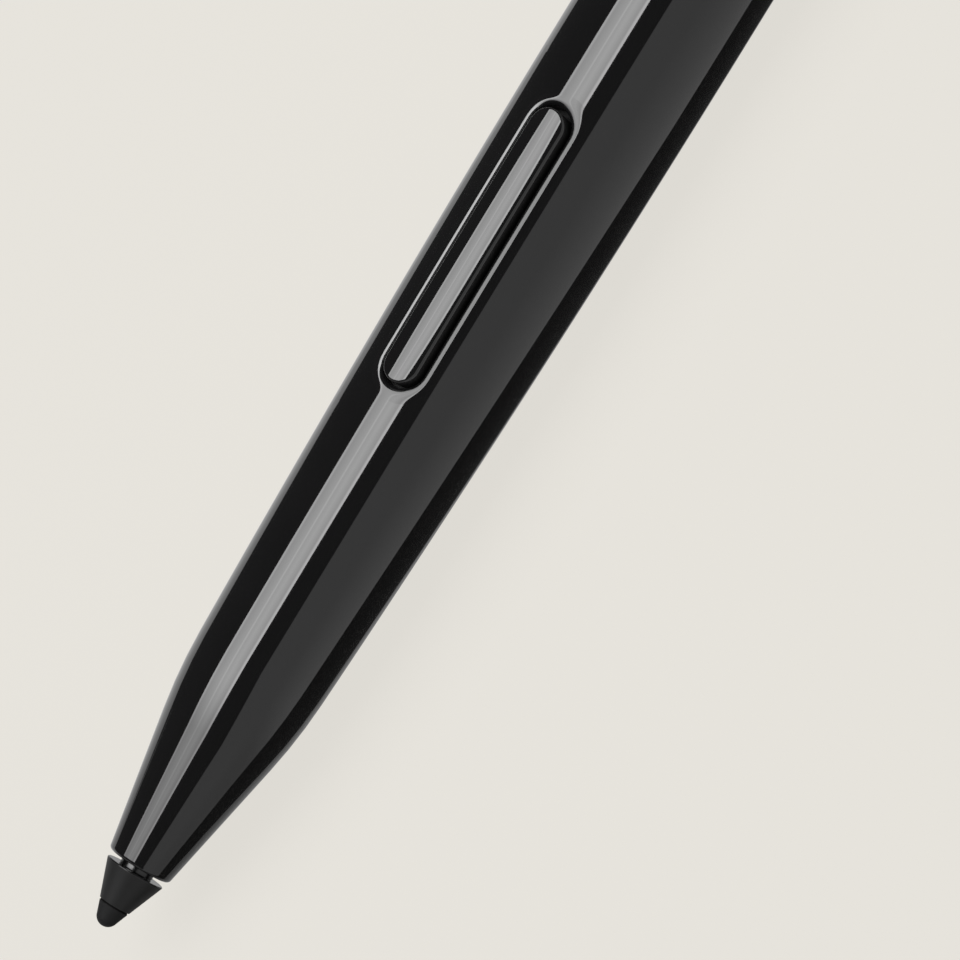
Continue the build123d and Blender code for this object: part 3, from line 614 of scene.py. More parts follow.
def slot_rings(skin, inner_border, outer_border):
    """Faces round the slot: bore, slot wall, rolled lip and the barrel's outside up to the border."""
    count = len(outer_border)
    outside = [skin.points[n] for n in outer_border]
    inside = [skin.points[n] for n in inner_border]
    roots = []
    for station, _, _ in outside:
        share = (station - KEY_STATION) / PATCH_HALF_LENGTH
        half = SPINE_HALF + (SLOT_REAR_ROOM if share > 0 else 0)
        roots.append((KEY_STATION + share * half, 0))

    def ring_at(reach):
        return [on_lip(roots[k], outside[k][:2], reach) for k in range(count)]

    def surface(x, y):
        radius = barrel_radius_at(x)
        height = math.sqrt(radius**2 - y**2)
        return height, (-radius * barrel_slope_at(x) / height, y / height)

    wall = ring_at(0)
    into_slot = [tuple(-v for v in off_spine(x, y)[1]) + (0,) for x, y in wall]
    bore_normals = [(0, -p[1], -math.sqrt(MAIN_BORE_RADIUS**2 - p[1] ** 2)) for p in inside]
    wall_bore_normals = [(0, -y, -math.sqrt(MAIN_BORE_RADIUS**2 - y**2)) for _, y in wall]
    wall_low = skin.ring([(x, y, math.sqrt(MAIN_BORE_RADIUS**2 - y**2)) for x, y in wall])
    skin.finish = SLOT_INSIDE
    skin.strip(inner_border, bore_normals, wall_low, wall_bore_normals)

    rings = [(wall_low, into_slot)]
    for k in range(LIP_STEPS + 1):
        left = math.cos(math.pi / 2 * k / LIP_STEPS)
        reach = 1 - left
        lean = left**SLOT_LIP_EASE
        rise = math.sqrt(1 - lean**2)
        steepness = SLOT_LIP_EASE * lean * left ** (SLOT_LIP_EASE - 1)
        points, normals = [], []
        for x, y in ring_at(reach):
            height, slope = surface(x, y)
            away = off_spine(x, y)[1]
            width, depth = lip_size(x, y)
            wider, deeper = lip_growth(x, y)
            points.append((x, y, height - depth * (1 - rise)))
            fall = [depth / width * steepness * (away[i] - reach * wider[i]) for i in (0, 1)]
            tilt = [(slope[i] + deeper[i] * (1 - rise)) * rise - fall[i] for i in (0, 1)]
            normals.append((tilt[0], tilt[1], rise))
        rings.append((skin.ring(points), normals))

    lip = ring_at(1)
    for share in PATCH_SHARES:
        points, normals = [], []
        for k in range(count):
            x = lip[k][0] + (outside[k][0] - lip[k][0]) * share
            y = lip[k][1] + (outside[k][1] - lip[k][1]) * share
            height, slope = surface(x, y)
            points.append((x, y, height))
            normals.append(slope + (1,))
        rings.append((skin.ring(points), normals))
    rings.append((outer_border, [surface(p[0], p[1])[1] + (1,) for p in outside]))
    for i, (first, last) in enumerate(zip(rings, rings[1:])):
        # The lip's faces take the lip finish, whose coat paints a brighter highlight towards +Y
        skin.finish = SLOT_INSIDE if i == 0 else SLOT_LIP if i <= LIP_STEPS else OWN_FINISH
        skin.strip(first[0], first[1], last[0], last[1])


def barrel_piece():
    """Barrel with its bores, the groove of the return strip and the key's slot with its rolled lip."""
    skin = Skin()
    outline = barrel_outline()
    rows = turned_rows(skin, outline, bore_shape)
    stations = patch_stations()
    reach = PATCH_HALF_LENGTH + SMALL_STEP
    near_key = [i for i, p in enumerate(outline) if abs(p[0] - KEY_STATION) < reach]
    outer = [i for i in near_key if outline[i][1] > MAIN_BORE_RADIUS + SMALL_STEP]
    inner = [i for i in near_key if i not in outer][::-1]
    hidden = {k % COLUMNS for k in range(-PATCH_COLUMNS, PATCH_COLUMNS)}

    def skipped(i, n):
        whole = (i in outer and n in outer) or (i in inner and n in inner)
        return hidden if whole else ()

    turned_faces(skin, outline, rows, True, skipped)
    outer_border = patch_border([rows[i] for i in outer], stations)
    inner_border = patch_border([rows[i] for i in inner], stations)
    slot_rings(skin, inner_border, outer_border)
    return skin.piece("barrel_shell")


# Side key

def pill(half_length, straight_steps=PILL_STRAIGHT_STEPS):
    """Spine points and directions round a pill outline, anticlockwise from above."""
    spots = []
    for side, end in ((-1, 1), (1, -1)):
        for k in range(straight_steps):
            spots.append((end * half_length * (2 * k / straight_steps - 1), (0, side)))
        for k in range(PILL_END_STEPS):
            angle = side * math.pi / 2 + math.pi * k / PILL_END_STEPS
            spots.append((end * half_length, (math.cos(angle), math.sin(angle))))
    return spots


def key_piece():
    """Crowned key with a rounded edge, its flange and its post."""
    skin = Skin()
    spots = pill(SPINE_HALF)
    half_width = KEY_WIDTH / 2
    flange_reach = half_width + KEY_SIDE_CLEARANCE + KEY_FLANGE_MARGIN

    def plan(reach):
        return [(KEY_STATION + s + d[0] * reach, d[1] * reach) for s, d in spots]

    def crown(x, y):
        end_share = 2 * (x - KEY_STATION) / KEY_LENGTH
        power = KEY_END_CROWN_POWER
        radius = KEY_CROWN_RADIUS - KEY_END_CROWN_FALL * end_share**power
        growth = -2 * power * KEY_END_CROWN_FALL * end_share ** (power - 1) / KEY_LENGTH
        off = y - KEY_CROWN_SHIFT
        rise = math.sqrt(radius**2 - off**2)
        slope = barrel_slope_at(x) + growth * (radius / rise - 1)
        return barrel_radius_at(x) + KEY_PROUD - radius + rise, (-slope, off / rise)

    outward = [d + (0,) for _, d in spots]
    rings = []
    flat_reach = half_width - KEY_EDGE_WIDTH
    for share in KEY_TOP_SHARES:
        points = [(x, y) + crown(x, y)[:1] for x, y in plan(flat_reach * share)]
        normals = [crown(x, y)[1] + (1,) for x, y in plan(flat_reach * share)]
        rings.append((points, normals, normals))
    for k in range(LIP_STEPS + 1):
        angle = math.pi / 2 * k / LIP_STEPS
        reach = flat_reach + KEY_EDGE_WIDTH * math.sin(angle)
        drop = KEY_EDGE_DROP * (1 - math.cos(angle))
        fall = KEY_EDGE_DROP / KEY_EDGE_WIDTH * math.sin(angle)
        rise = math.cos(angle)
        points, normals = [], []
        for (x, y), away in zip(plan(reach), outward):
            height, slope = crown(x, y)
            points.append((x, y, height - drop))
            normals.append((slope[0] * rise + fall * away[0], slope[1] * rise + fall * away[1], rise))
        rings.append((points, normals, normals))

    def flange_top(reach):
        return [(x, y, math.sqrt(KEY_FLANGE_RADIUS**2 - y**2)) for x, y in plan(reach)]

    low_side = [(x, y, KEY_FLANGE_UNDERSIDE) for x, y in plan(flange_reach)]
    middle = [(x, y, KEY_FLANGE_UNDERSIDE) for x, y in plan(0)]
    inner_top, outer_top = flange_top(half_width), flange_top(flange_reach)
    up_in = [(0, p[1], p[2]) for p in inner_top]
    up_out = [(0, p[1], p[2]) for p in outer_top]
    down = [(0, 0, -1)] * len(spots)
    last_polished = len(rings) - 1
    rings.append((inner_top, outward, up_in))
    rings.append((outer_top, up_out, outward))
    rings.append((low_side, outward, down))
    rings.append((middle, down, down))
    welded = {}
    numbers = []
    for points, _, _ in rings:
        row = []
        for point in points:
            spot = tuple(round(v, WELD_DIGITS) for v in point)
            if spot not in welded:
                welded[spot] = skin.ring([point])[0]
            row.append(welded[spot])
        numbers.append(row)
    for i in range(len(rings) - 1):
        skin.finish = KEY_INSIDE if i >= last_polished else OWN_FINISH
        skin.strip(numbers[i], rings[i][2], numbers[i + 1], rings[i + 1][1])
    key_post(skin)
    return skin.piece("key_pill")


def key_post(skin):
    """Round post under the key's flange, closed at both ends."""
    spots = pill(0, straight_steps=0)
    side = [d + (0,) for _, d in spots]

    def level(reach, height):
        return skin.ring([(KEY_STATION + d[0] * reach, d[1] * reach, height) for _, d in spots])

    top, foot = level(KEY_POST_RADIUS, KEY_FLANGE_UNDERSIDE), level(KEY_POST_RADIUS, KEY_POST_LOW)
    skin.strip(top, side, foot, side)
    for ring, height, way in ((top, KEY_FLANGE_UNDERSIDE, 1), (foot, KEY_POST_LOW, -1)):
        centre = skin.ring([(KEY_STATION, 0, height)]) * len(spots)
        flat = [(0, 0, way)] * len(spots)
        if way > 0:
            skin.strip(centre, flat, ring, flat)
        else:
            skin.strip(ring, flat, centre, flat)


# Rear cap

def cap_piece():
    """Hollow cap with a straight skirt, a tapering round and a soft end."""
    skirt_rear = CAP_SEAM + CAP_STRAIGHT
    run = PEN_LENGTH - skirt_rear
    drop = BARREL_RADIUS - CAP_END_RADIUS
    dome = (run**2 + drop**2) / (2 * drop)
    dome_centre = (skirt_rear, BARREL_RADIUS - dome)
    # the end's edge is a small round inside the dome's and touching the flat end
    edge_station = PEN_LENGTH - CAP_END_EDGE
    edge_height = math.sqrt((dome - CAP_END_EDGE) ** 2 - (edge_station - skirt_rear) ** 2)
    edge_centre = (edge_station, dome_centre[1] + edge_height)
    meet = unit(edge_centre[0] - dome_centre[0], edge_centre[1] - dome_centre[1])
    plug_rear = CAP_SEAM + CAP_PLUG_LENGTH
    hollow_rear = PEN_LENGTH - CAP_END_WALL
    skirt = path(
        (CAP_SEAM, CAP_PLUG_RADIUS),
        (CAP_SEAM, BARREL_RADIUS - CAP_SEAM_CHAMFER),
        (CAP_SEAM + CAP_SEAM_CHAMFER, BARREL_RADIUS),
        (skirt_rear, BARREL_RADIUS),
    )
    end_face = path((PEN_LENGTH, edge_centre[1]), (PEN_LENGTH, 0))
    hollow = path(
        (hollow_rear, 0),
        (hollow_rear, CAP_HOLLOW_RADIUS),
        (plug_rear, CAP_HOLLOW_RADIUS),
        (plug_rear, CAP_PLUG_RADIUS),
        (CAP_SEAM, CAP_PLUG_RADIUS),
    )
    outside = joined(
        skirt,
        arc(dome_centre, dome, (0, 1), meet),
        arc(edge_centre, CAP_END_EDGE, meet, (1, 0)),
        end_face,
    )
    return turned("end_cap", joined(hollow, outside))


def thread_shape(station, radius, angle):
    """Radius of the collar's thread: one ridge per pitch that runs out at both ends."""
    front, rear = COLLAR_FRONT, SEAL_STATION - SEAL_GROOVE_WIDTH / 2
    if radius != THREAD_CREST or not front < station < rear:
        return radius
    phase = 2 * math.pi * station / THREAD_PITCH - angle
    fade = min(1, (station - front) / THREAD_RUNOUT, (rear - station) / THREAD_RUNOUT)
    return radius - THREAD_DEPTH * fade * (0.5 - 0.5 * math.cos(phase))


def collar_piece():
    """Threaded collar with the seal's groove and the contact plate's seat."""
    groove_front = SEAL_STATION - SEAL_GROOVE_WIDTH / 2
    groove_rear = SEAL_STATION + SEAL_GROOVE_WIDTH / 2
    count = round((groove_front - COLLAR_FRONT) / THREAD_PITCH * THREAD_ROWS_PER_PITCH)
    thread = [(s, THREAD_CREST) for s in steps_between(COLLAR_FRONT, groove_front, count)]
    outline = path(
        (COLLAR_FRONT, COLLAR_BORE_RADIUS),
        *thread,
        (groove_front, SEAL_GROOVE_RADIUS),
        (groove_rear, SEAL_GROOVE_RADIUS),
        (groove_rear, THREAD_CREST),
        (CAP_SEAM, THREAD_CREST),
        (CAP_SEAM, COLLAR_PLUG_RADIUS),
        (COLLAR_REAR, COLLAR_PLUG_RADIUS),
        (COLLAR_REAR, COLLAR_REAR_BORE_RADIUS),
        (PLATE_SEAT, COLLAR_REAR_BORE_RADIUS),
        (PLATE_SEAT, COLLAR_BORE_RADIUS),
    )

    def on_thread(a, b):
        return a[1] == b[1] == THREAD_CREST and b[0] <= groove_front + SMALL_STEP

    return turned("collar_thread", outline, closed=True, shape=thread_shape, auto=on_thread)


def seal_piece():
    """Round section ring in the collar's groove."""
    count = round(2 * math.pi / ARC_STEP)
    outline = []
    for k in range(count):
        angle = math.pi - 2 * math.pi * k / count
        normal = (math.cos(angle), math.sin(angle))
        station = SEAL_STATION + normal[0] * SEAL_WIRE_RADIUS
        outline.append((station, SEAL_RADIUS + normal[1] * SEAL_WIRE_RADIUS, normal, normal))
    return turned("seal_ring", outline, closed=True)


# Materials

MOTTLE = (300.0, 0.15)
MOTTLE_DETAIL = 4.0
GRAIN_DETAIL = 3.0
WEAR = 0.25
SHELL_LOOK = dict(colour=(0.0072, 0.0072, 0.0075), roughness=0.05, wear=0.2, coat=(1.0, 0.025))
NIB_COLOUR = (0.012, 0.012, 0.0125)
# Refractive index of the coat on the slot's rolled lip: near side, ends and far side; it paints the far
# lip's highlight brighter and the near lip's dimmer
LIP_HIGHLIGHT_COAT_IORS = (1.39, 1.5, 1.86)
LOOKS = {
    "shell_black": SHELL_LOOK,
    "nib_black": dict(colour=NIB_COLOUR, roughness=0.5, grain=(9000.0, 6e-6)),
    "tip_black": dict(colour=(0.0045, 0.0045, 0.005), roughness=0.68, grain=(9000.0, 4e-6)),
    "stem_steel": dict(colour=(0.085, 0.085, 0.085), roughness=0.22, metallic=1.0),
    "acetal_white": dict(colour=(0.72, 0.71, 0.67), roughness=0.4, grain=(3000.0, 2e-6)),
    "inner_grey": dict(colour=(0.09, 0.092, 0.098), roughness=0.5, grain=(3000.0, 4e-6)),
    "spring_steel": dict(colour=(0.55, 0.55, 0.56), roughness=0.25, metallic=1.0),
    "electrode_brass": dict(colour=(0.70, 0.52, 0.27), roughness=0.3, metallic=1.0),
    "brass": dict(colour=(0.74, 0.56, 0.28), roughness=0.24, metallic=1.0, mottle=(500.0, 0.2)),
    "sensor_can": dict(colour=(0.62, 0.62, 0.63), roughness=0.3, metallic=1.0),
    "pad_rubber": dict(colour=(0.3, 0.3, 0.31), roughness=0.7, grain=(3000.0, 5e-6)),
    "board_green": dict(colour=(0.015, 0.11, 0.05), roughness=0.35, mottle=(700.0, 0.3)),
    "chip_black": dict(colour=(0.02, 0.02, 0.021), roughness=0.5, grain=(6000.0, 3e-6)),
    "switch_case": dict(colour=(0.05, 0.05, 0.053), roughness=0.45, grain=(4000.0, 3e-6)),
    "cell_sleeve": dict(colour=(0.55, 0.56, 0.58), roughness=0.35, metallic=1.0, mottle=(200.0, 0.1)),
    "seal_rubber": dict(colour=(0.018, 0.018, 0.018), roughness=0.55, grain=(4000.0, 4e-6)),
}
# Looks of single faces: the unpolished inside of slot and key, the nib's smooth back, and the painted
# shade of its seam
SLOT_LOOK = dict(colour=(0.011, 0.011, 0.011), roughness=0.7, grain=(4000.0, 3e-6))
NIB_BACK_LOOK = dict(colour=NIB_COLOUR, roughness=0.16)
# The seam's look is painted shade: it stands in for the shade in the narrow groove and, in its finish,
# reflects nothing
TIP_SEAM_SHADE_LOOK = dict(colour=(0.01, 0.01, 0.01), roughness=0.9)


def socket(node, name):
    """An enabled input of a node, by its name."""
    return next(s for s in node.inputs if s.name == name and s.enabled)


def new_material(name):
    """A material, its nodes and its links."""
    material = bpy.data.materials.new(name)
    material.use_nodes = True
    return material, material.node_tree.nodes, material.node_tree.links


def faded(nodes, links, axis, span, first, last):
    """Socket that goes smoothly from first to last along an axis, over a span in metres.

    first is a number or a socket.
    """
    place = nodes.new("ShaderNodeTexCoord")
    split = nodes.new("ShaderNodeSeparateXYZ")
    level = nodes.new("ShaderNodeMapRange")
    level.interpolation_type = "SMOOTHSTEP"
    level.inputs["From Min"].default_value = span[0]
    level.inputs["From Max"].default_value = span[1]
    if isinstance(first, float):
        level.inputs["To Min"].default_value = first
    else:
        links.new(first, level.inputs["To Min"])
    level.inputs["To Max"].default_value = last
    links.new(place.outputs["Object"], split.inputs[0])
    links.new(split.outputs[axis], level.inputs["Value"])
    return level.outputs["Result"]


def finish(name, colour, roughness, metallic=0.0, mottle=MOTTLE, wear=WEAR, grain=None, coat=None):
    """Material with a mottled colour, uneven gloss and, where it is asked for, a fine grain.

    mottle is (scale, share of the colour), wear is the share by which the roughness varies, grain is
    (scale, depth in metres) and coat is (weight, roughness).
    """
    material, nodes, links = new_material(name)
    shader = nodes["Principled BSDF"]
    shader.inputs["Metallic"].default_value = metallic
    if coat:
        shader.inputs["Coat Weight"].default_value = coat[0]
        shader.inputs["Coat Roughness"].default_value = coat[1]
    place = nodes.new("ShaderNodeTexCoord")
    cloud = nodes.new("ShaderNodeTexNoise")
    cloud.inputs["Scale"].default_value = mottle[0]
    cloud.inputs["Detail"].default_value = MOTTLE_DETAIL
    links.new(place.outputs["Object"], cloud.inputs["Vector"])

    tint = nodes.new("ShaderNodeMix")
    tint.data_type = "RGBA"
    socket(tint, "A").default_value = tuple(c * (1 - mottle[1]) for c in colour) + (1,)
    socket(tint, "B").default_value = tuple(min(c * (1 + mottle[1]), 1) for c in colour) + (1,)
    links.new(cloud.outputs["Fac"], socket(tint, "Factor"))
    links.new(next(o for o in tint.outputs if o.enabled), shader.inputs["Base Color"])

    gloss = nodes.new("ShaderNodeMapRange")
    gloss.inputs["To Min"].default_value = roughness * (1 - wear)
    gloss.inputs["To Max"].default_value = roughness * (1 + wear)
    links.new(cloud.outputs["Fac"], gloss.inputs["Value"])
    links.new(gloss.outputs["Result"], shader.inputs["Roughness"])

    if grain:
        speck = nodes.new("ShaderNodeTexNoise")
        speck.inputs["Scale"].default_value = grain[0]
        speck.inputs["Detail"].default_value = GRAIN_DETAIL
        links.new(place.outputs["Object"], speck.inputs["Vector"])
        bump = nodes.new("ShaderNodeBump")
        bump.inputs["Distance"].default_value = grain[1]
        links.new(speck.outputs["Fac"], bump.inputs["Height"])
        links.new(bump.outputs["Normal"], shader.inputs["Normal"])
    return material


def seam_shade_finish():
    """Painted shade of the seam behind the tip: a dark look whose reflection is switched off, so the
    groove reads as shaded.
    """
    material = finish("seam_painted_shade", **TIP_SEAM_SHADE_LOOK)
    material.node_tree.nodes["Principled BSDF"].inputs["Specular IOR Level"].default_value = 0.0
    return material


def lip_highlight_finish():
    """The shell's black and gloss on the slot's rolled lip, with a coat that reflects more towards +Y: a
    painted highlight, brighter on the far lip and dimmer on the near one.
    """
    material = finish("lip_black_painted_highlight", **SHELL_LOOK)
    nodes, links = material.node_tree.nodes, material.node_tree.links
    # Painted highlight: the coat's index rises from the near side through the ends to the far side
    near, ends, far = LIP_HIGHLIGHT_COAT_IORS
    reach = SLOT_HALF_WIDTH * MM
    near_half = faded(nodes, links, "Y", (-reach, 0), near, ends)
    coat = faded(nodes, links, "Y", (0, reach), near_half, far)
    links.new(coat, nodes["Principled BSDF"].inputs["Coat IOR"])
    return material


# Pieces

FINISHES = {name: finish(name, **look) for name, look in LOOKS.items()}
SLOT_FINISH = finish("slot_black", **SLOT_LOOK)
# Further finishes by piece, in the order of their numbers
FURTHER_FINISHES = {
    "barrel_shell": [SLOT_FINISH, lip_highlight_finish()],
    "key_pill": [SLOT_FINISH],
    "nib_body_cone": [finish("nib_back_black", **NIB_BACK_LOOK), seam_shade_finish()],
}
# Pieces that stand for nodes: (piece, node, body, slot)
PIECES = [
    (tip_piece(), "nib_tip", "nib_body", "tip_black"),
    (cone_piece(), "nib_cone", "nib_body", "nib_black"),
    (stem_piece(), "nib_stem", "stem_body", "stem_steel"),
    (barrel_piece(), "barrel", "barrel_body", "shell_black"),
    (key_piece(), "side_key", "key_body", "shell_black"),
    (cap_piece(), "rear_cap", "cap_body", "shell_black"),
    (collar_piece(), "cap_collar", "cap_body", "brass"),
    (seal_piece(), "cap_seal", "seal_body", "seal_rubber"),
]
for piece, node, body, slot in PIECES:
    piece.data.materials.append(FINISHES[slot])
    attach(piece, body)
    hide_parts(node)
    for further in FURTHER_FINISHES.get(piece.name, []):
        piece.data.materials.append(further)

# Inner pieces keep their solids and take the finish of their slot
for part in frame["record"]["subparts"]:
    carried = frame["nodes"][part["node"]].data.materials
    carried.clear()
    carried.append(FINISHES[part["material_slot"]])


# Stage: floor, glowing lamp panel, and cards that only the gloss shows

PALE = (0.80, 0.776, 0.723)
FLOOR_HALF = 3.0
FLOOR_GLOW_SHARE = 0.9
SKY_STRENGTH = 0.3
LAMP_STRENGTH = 3.7
LAMP_NOSE_SHARE = 0.56
LAMP_FADE = (-0.30, -0.14)
LAMP_DISTANCE = 0.5
LAMP_FAR_DEGREES = -36.8
# Level of the lamp across its width, from the far edge to the near one, as (share, level)
LAMP_LEVELS = (
    (0.0, 1.1),
    (0.05, 1.1),
    (0.12, 0.85),
    (0.43, 1.04),
    (0.475, 1.3),
    (0.52, 1.04),
    (0.66, 1.15),
    (0.88, 0.92),
    (0.94, 1.4),
    (1.0, 1.4),
)
CARD_STRENGTH = 0.41
CARD_FOOT_STRENGTH = 0.54
CARD_FOOT_HEIGHT = 0.02
CARD_NOSE_STRENGTH = 0.35
CARD_NOSE_SPAN = (6, 18)
UNDER_STRENGTH = 0.24
RIM_STRENGTH = 0.50
DARK_STRENGTH = 0.03
END_STRENGTH = 0.12
DARK_DISTANCE = 0.62
DARK_DEGREES = range(-95, 56, 10)
CARD_LIFT = 0.0003
# Edges of the lamp and of the white card over the pen, as (station, degrees from straight up)
LAMP_NEAR_EDGE = ((-290, 13.0), (-243, 9.5), (-225, 6.5), (300, 1.5))
CARD_TOP = ((-300, 48), (-243, 45), (-225, 42.5), (-57, 34), (19, 30), (97, 28), (300, 27))
# Places on the floor where the cards beside the pen meet, as (station, across)
CARD_FOOT = ((-250, -51.0), (3, -20.8), (12, -19.8), (20, -18.8), (40, -16.4), (66, -13.3), (150, -13.3))
NEAR_GAP = ((-250, -6.9), (3, -6.9), (12, -6.0), (20, -5.7), (40, -4.8), (66, -4.6), (150, -4.6))
FAR_GAP = ((-250, 600), (-60, 300), (-23, 102), (-5, 70), (15, 52), (40, 37), (67, 32), (150, 31.5))


def seen_directly(nodes, links):
    """Socket that is 1 for camera, glossy and transmission rays."""
    ways = nodes.new("ShaderNodeLightPath")
    total = ways.outputs["Is Camera Ray"]
    for name in ("Is Glossy Ray", "Is Transmission Ray"):
        either = nodes.new("ShaderNodeMath")
        either.operation = "MAXIMUM"
        links.new(total, either.inputs[0])
        links.new(ways.outputs[name], either.inputs[1])
        total = either.outputs[0]
    return total


def floor_material():
    """Pale matt floor; part of what is seen of it is even, and the rest takes the object's shadow."""
    material, nodes, links = new_material("floor_pale")
    nodes.remove(nodes["Principled BSDF"])
    matt = nodes.new("ShaderNodeBsdfDiffuse")
    matt.inputs["Color"].default_value = PALE + (1,)
    even = nodes.new("ShaderNodeEmission")
    even.inputs["Color"].default_value = PALE + (1,)
    share = nodes.new("ShaderNodeMath")
    share.operation = "MULTIPLY"
    share.inputs[1].default_value = FLOOR_GLOW_SHARE
    links.new(seen_directly(nodes, links), share.inputs[0])
    mix = nodes.new("ShaderNodeMixShader")
    links.new(share.outputs[0], mix.inputs["Fac"])
    links.new(matt.outputs[0], mix.inputs[1])
    links.new(even.outputs[0], mix.inputs[2])
    links.new(mix.outputs[0], nodes["Material Output"].inputs["Surface"])
    return material


def levelled(nodes, links, strength, levels):
    """Socket with a strength times a level across the panel, from (share, level) pairs."""
    share = nodes.new("ShaderNodeAttribute")
    share.attribute_name = "across"
    ramp = nodes.new("ShaderNodeValToRGB")
    stops = ramp.color_ramp.elements
    for place, _ in levels[1:-1]:
        stops.new(place)
    for stop, (_, level) in zip(stops, levels):
        stop.color = (level, level, level, 1)
    product = nodes.new("ShaderNodeMath")
    product.operation = "MULTIPLY"
    links.new(share.outputs["Fac"], ramp.inputs["Fac"])
    links.new(ramp.outputs["Color"], product.inputs[0])
    links.new(strength, product.inputs[1])
    return product.outputs[0]


def glow(name, first, last=None, axis=None, span=None, nose=None, levels=None):
    """Glow of a panel, whose strength can go from first to last along an axis, over a span in metres.

    nose is (strength, span along the pen) where first is another one at the pen's nose, and levels are
    (share, level) pairs across the panel, from share 0 to share 1.
    """
    material, nodes, links = new_material(name)
    nodes.remove(nodes["Principled BSDF"])
    light = nodes.new("ShaderNodeEmission")
    light.inputs["Strength"].default_value = first
    links.new(light.outputs[0], nodes["Material Output"].inputs["Surface"])
    if nose:
        first = faded(nodes, links, "X", nose[1], nose[0], first)
    if last is not None:
        strength = faded(nodes, links, axis, span, first, last)
        if levels:
            strength = levelled(nodes, links, strength, levels)
        links.new(strength, light.inputs["Strength"])
    return material


def stage_strip(name, first_edge, last_edge, material, only_reflected=True):
    """Stage panel between two edges of as many points, in metres."""
    count = len(first_edge)
    faces = [(k, k + 1, count + k + 1, count + k) for k in range(count - 1)]
    mesh = bpy.data.meshes.new(name)
    mesh.from_pydata(list(first_edge) + list(last_edge), [], faces)
    share = mesh.attributes.new("across", "FLOAT", "POINT")
    share.data.foreach_set("value", [0] * count + [1] * count)
    mesh.materials.append(material)
    piece = bpy.data.objects.new(name, mesh)
    bpy.context.scene.collection.objects.link(piece)
    if only_reflected:
        piece.visible_camera = False
        piece.visible_diffuse = False
        piece.visible_transmission = False
        piece.visible_volume_scatter = False
        piece.visible_shadow = False
    return piece


def toward(x, degrees, distance):
    """Point off the pen's axis, at an angle from straight up towards the camera's side."""
    angle = math.radians(degrees)
    return x, -math.sin(angle) * distance, AXIS_HEIGHT + math.cos(angle) * distance


def overhead(edge):
    """Points at the lamp's distance from the pen, from (station, degrees)."""
    return [toward(in_row(station, 0, 0).x, degrees, LAMP_DISTANCE) for station, degrees in edge]


def on_floor(edge):
    """Points just over the floor from (station, across) in millimetres."""
    return [(in_row(station, 0, 0).x, across * MM, CARD_LIFT) for station, across in edge]


def add_floor():
    """Floor on all sides of the pen."""
    near = [(-FLOOR_HALF, -FLOOR_HALF, 0), (FLOOR_HALF, -FLOOR_HALF, 0)]
    far = [(-FLOOR_HALF, FLOOR_HALF, 0), (FLOOR_HALF, FLOOR_HALF, 0)]
    stage_strip("floor", near, far, floor_material(), only_reflected=False)


def add_lamp():
    """Soft lamp panel over the pen, which the camera doesn't see directly."""
    far_edge = [(station, LAMP_FAR_DEGREES) for station, _ in LAMP_NEAR_EDGE]
    nose_strength = LAMP_STRENGTH * LAMP_NOSE_SHARE
    light = glow("lamp_glow", nose_strength, LAMP_STRENGTH, "X", LAMP_FADE, levels=LAMP_LEVELS)
    edges = overhead(far_edge), overhead(LAMP_NEAR_EDGE)
    panel = stage_strip("lamp_panel", *edges, light, only_reflected=False)
    panel.visible_camera = False


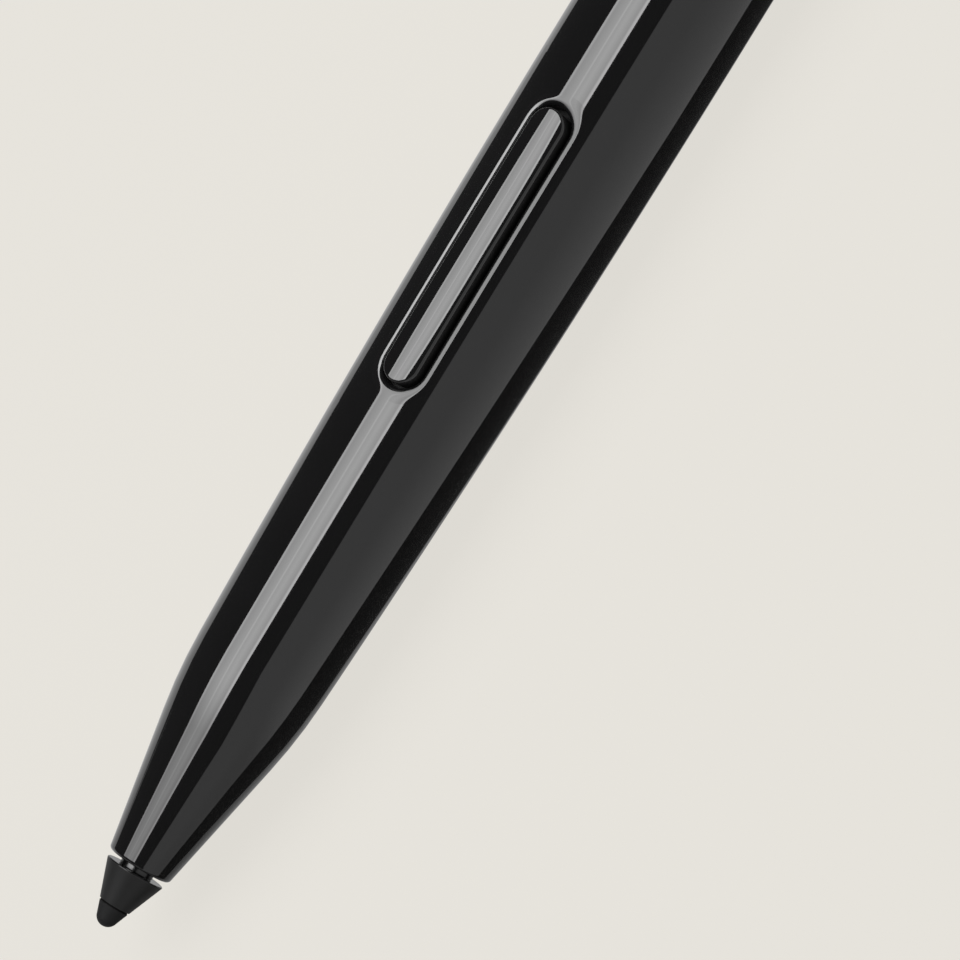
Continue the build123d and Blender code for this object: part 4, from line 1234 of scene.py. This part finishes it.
def add_cards():
    """White card in front of the pen, dim ones under and behind it, and dark ones round them."""
    dark = glow("card_dark", DARK_STRENGTH)
    nose_span = [in_row(station, 0, 0).x for station in CARD_NOSE_SPAN]
    white = glow(
        "card_glow",
        CARD_FOOT_STRENGTH,
        CARD_STRENGTH,
        "Z",
        (0.0, CARD_FOOT_HEIGHT),
        nose=(CARD_NOSE_STRENGTH, nose_span),
    )
    stage_strip("card_white", on_floor(CARD_FOOT), overhead(CARD_TOP), white)
    stage_strip("card_dark_near", on_floor(NEAR_GAP), on_floor(CARD_FOOT), dark)
    near_middle = on_floor([(station, 0) for station, _ in NEAR_GAP])
    stage_strip("card_under", on_floor(NEAR_GAP), near_middle, glow("card_dim", UNDER_STRENGTH))
    far_middle = on_floor([(station, 0) for station, _ in FAR_GAP])
    stage_strip("card_rim", far_middle, on_floor(FAR_GAP), glow("card_rim", RIM_STRENGTH))
    far_end = on_floor([(station, DARK_DISTANCE / MM) for station, _ in FAR_GAP])
    stage_strip("card_dark_far", on_floor(FAR_GAP), far_end, dark)

    def arch(x):
        return [toward(x, degrees, DARK_DISTANCE) for degrees in DARK_DEGREES]

    front, rear = -FLOOR_HALF / 2, FLOOR_HALF / 2
    stage_strip("card_dark_over", arch(front), arch(rear), dark)
    dim = glow("card_end", END_STRENGTH)
    for name, x in (("card_end_front", front), ("card_end_rear", rear)):
        stage_strip(name, arch(x), [(x, y, CARD_LIFT) for _, y, _ in arch(x)], dim)


def light_world():
    """Pale surroundings that are seen and reflected as they are and light the object softly."""
    world = bpy.data.worlds.new("studio")
    bpy.context.scene.world = world
    world.use_nodes = True
    nodes, links = world.node_tree.nodes, world.node_tree.links
    back = nodes["Background"]
    back.inputs["Color"].default_value = PALE + (1,)
    level = nodes.new("ShaderNodeMapRange")
    level.inputs["To Min"].default_value = SKY_STRENGTH
    level.inputs["To Max"].default_value = 1.0
    links.new(seen_directly(nodes, links), level.inputs["Value"])
    links.new(level.outputs["Result"], back.inputs["Strength"])


add_floor()
add_lamp()
add_cards()
light_world()


# Camera: square to the pen's axis, over its -Y side, with the pen running up to the right

VIEW_DEGREES = 27.0
VIEW_DISTANCE = 0.35
VIEW_FIELD = 0.064
VIEW_STATION = 38.5
VIEW_OFFSET = 5.867
VIEW_ROLL = math.radians(31.65)
SENSOR_WIDTH = 36.0
CLIP_START = 0.01


def add_camera():
    """Camera at the photograph's viewing angle."""
    angle = math.radians(VIEW_DEGREES)
    back = Vector((0, -math.sin(angle), math.cos(angle)))
    along = Vector((1, 0, 0))
    across = Vector((0, -math.cos(angle), -math.sin(angle)))
    right = along * math.sin(VIEW_ROLL) + across * math.cos(VIEW_ROLL)
    up = along * math.cos(VIEW_ROLL) - across * math.sin(VIEW_ROLL)
    target = in_row(VIEW_STATION, 0, 0) + across * VIEW_OFFSET * MM
    data = bpy.data.cameras.new("camera")
    data.sensor_width = SENSOR_WIDTH
    data.lens = SENSOR_WIDTH * VIEW_DISTANCE / VIEW_FIELD
    data.clip_start = CLIP_START
    camera = bpy.data.objects.new("camera", data)
    turn = Matrix((right, up, back)).transposed().to_4x4()
    camera.matrix_world = Matrix.Translation(target + back * VIEW_DISTANCE) @ turn
    bpy.context.scene.collection.objects.link(camera)
    bpy.context.scene.camera = camera


add_camera()
bpy.context.scene.view_settings.view_transform = "Standard"
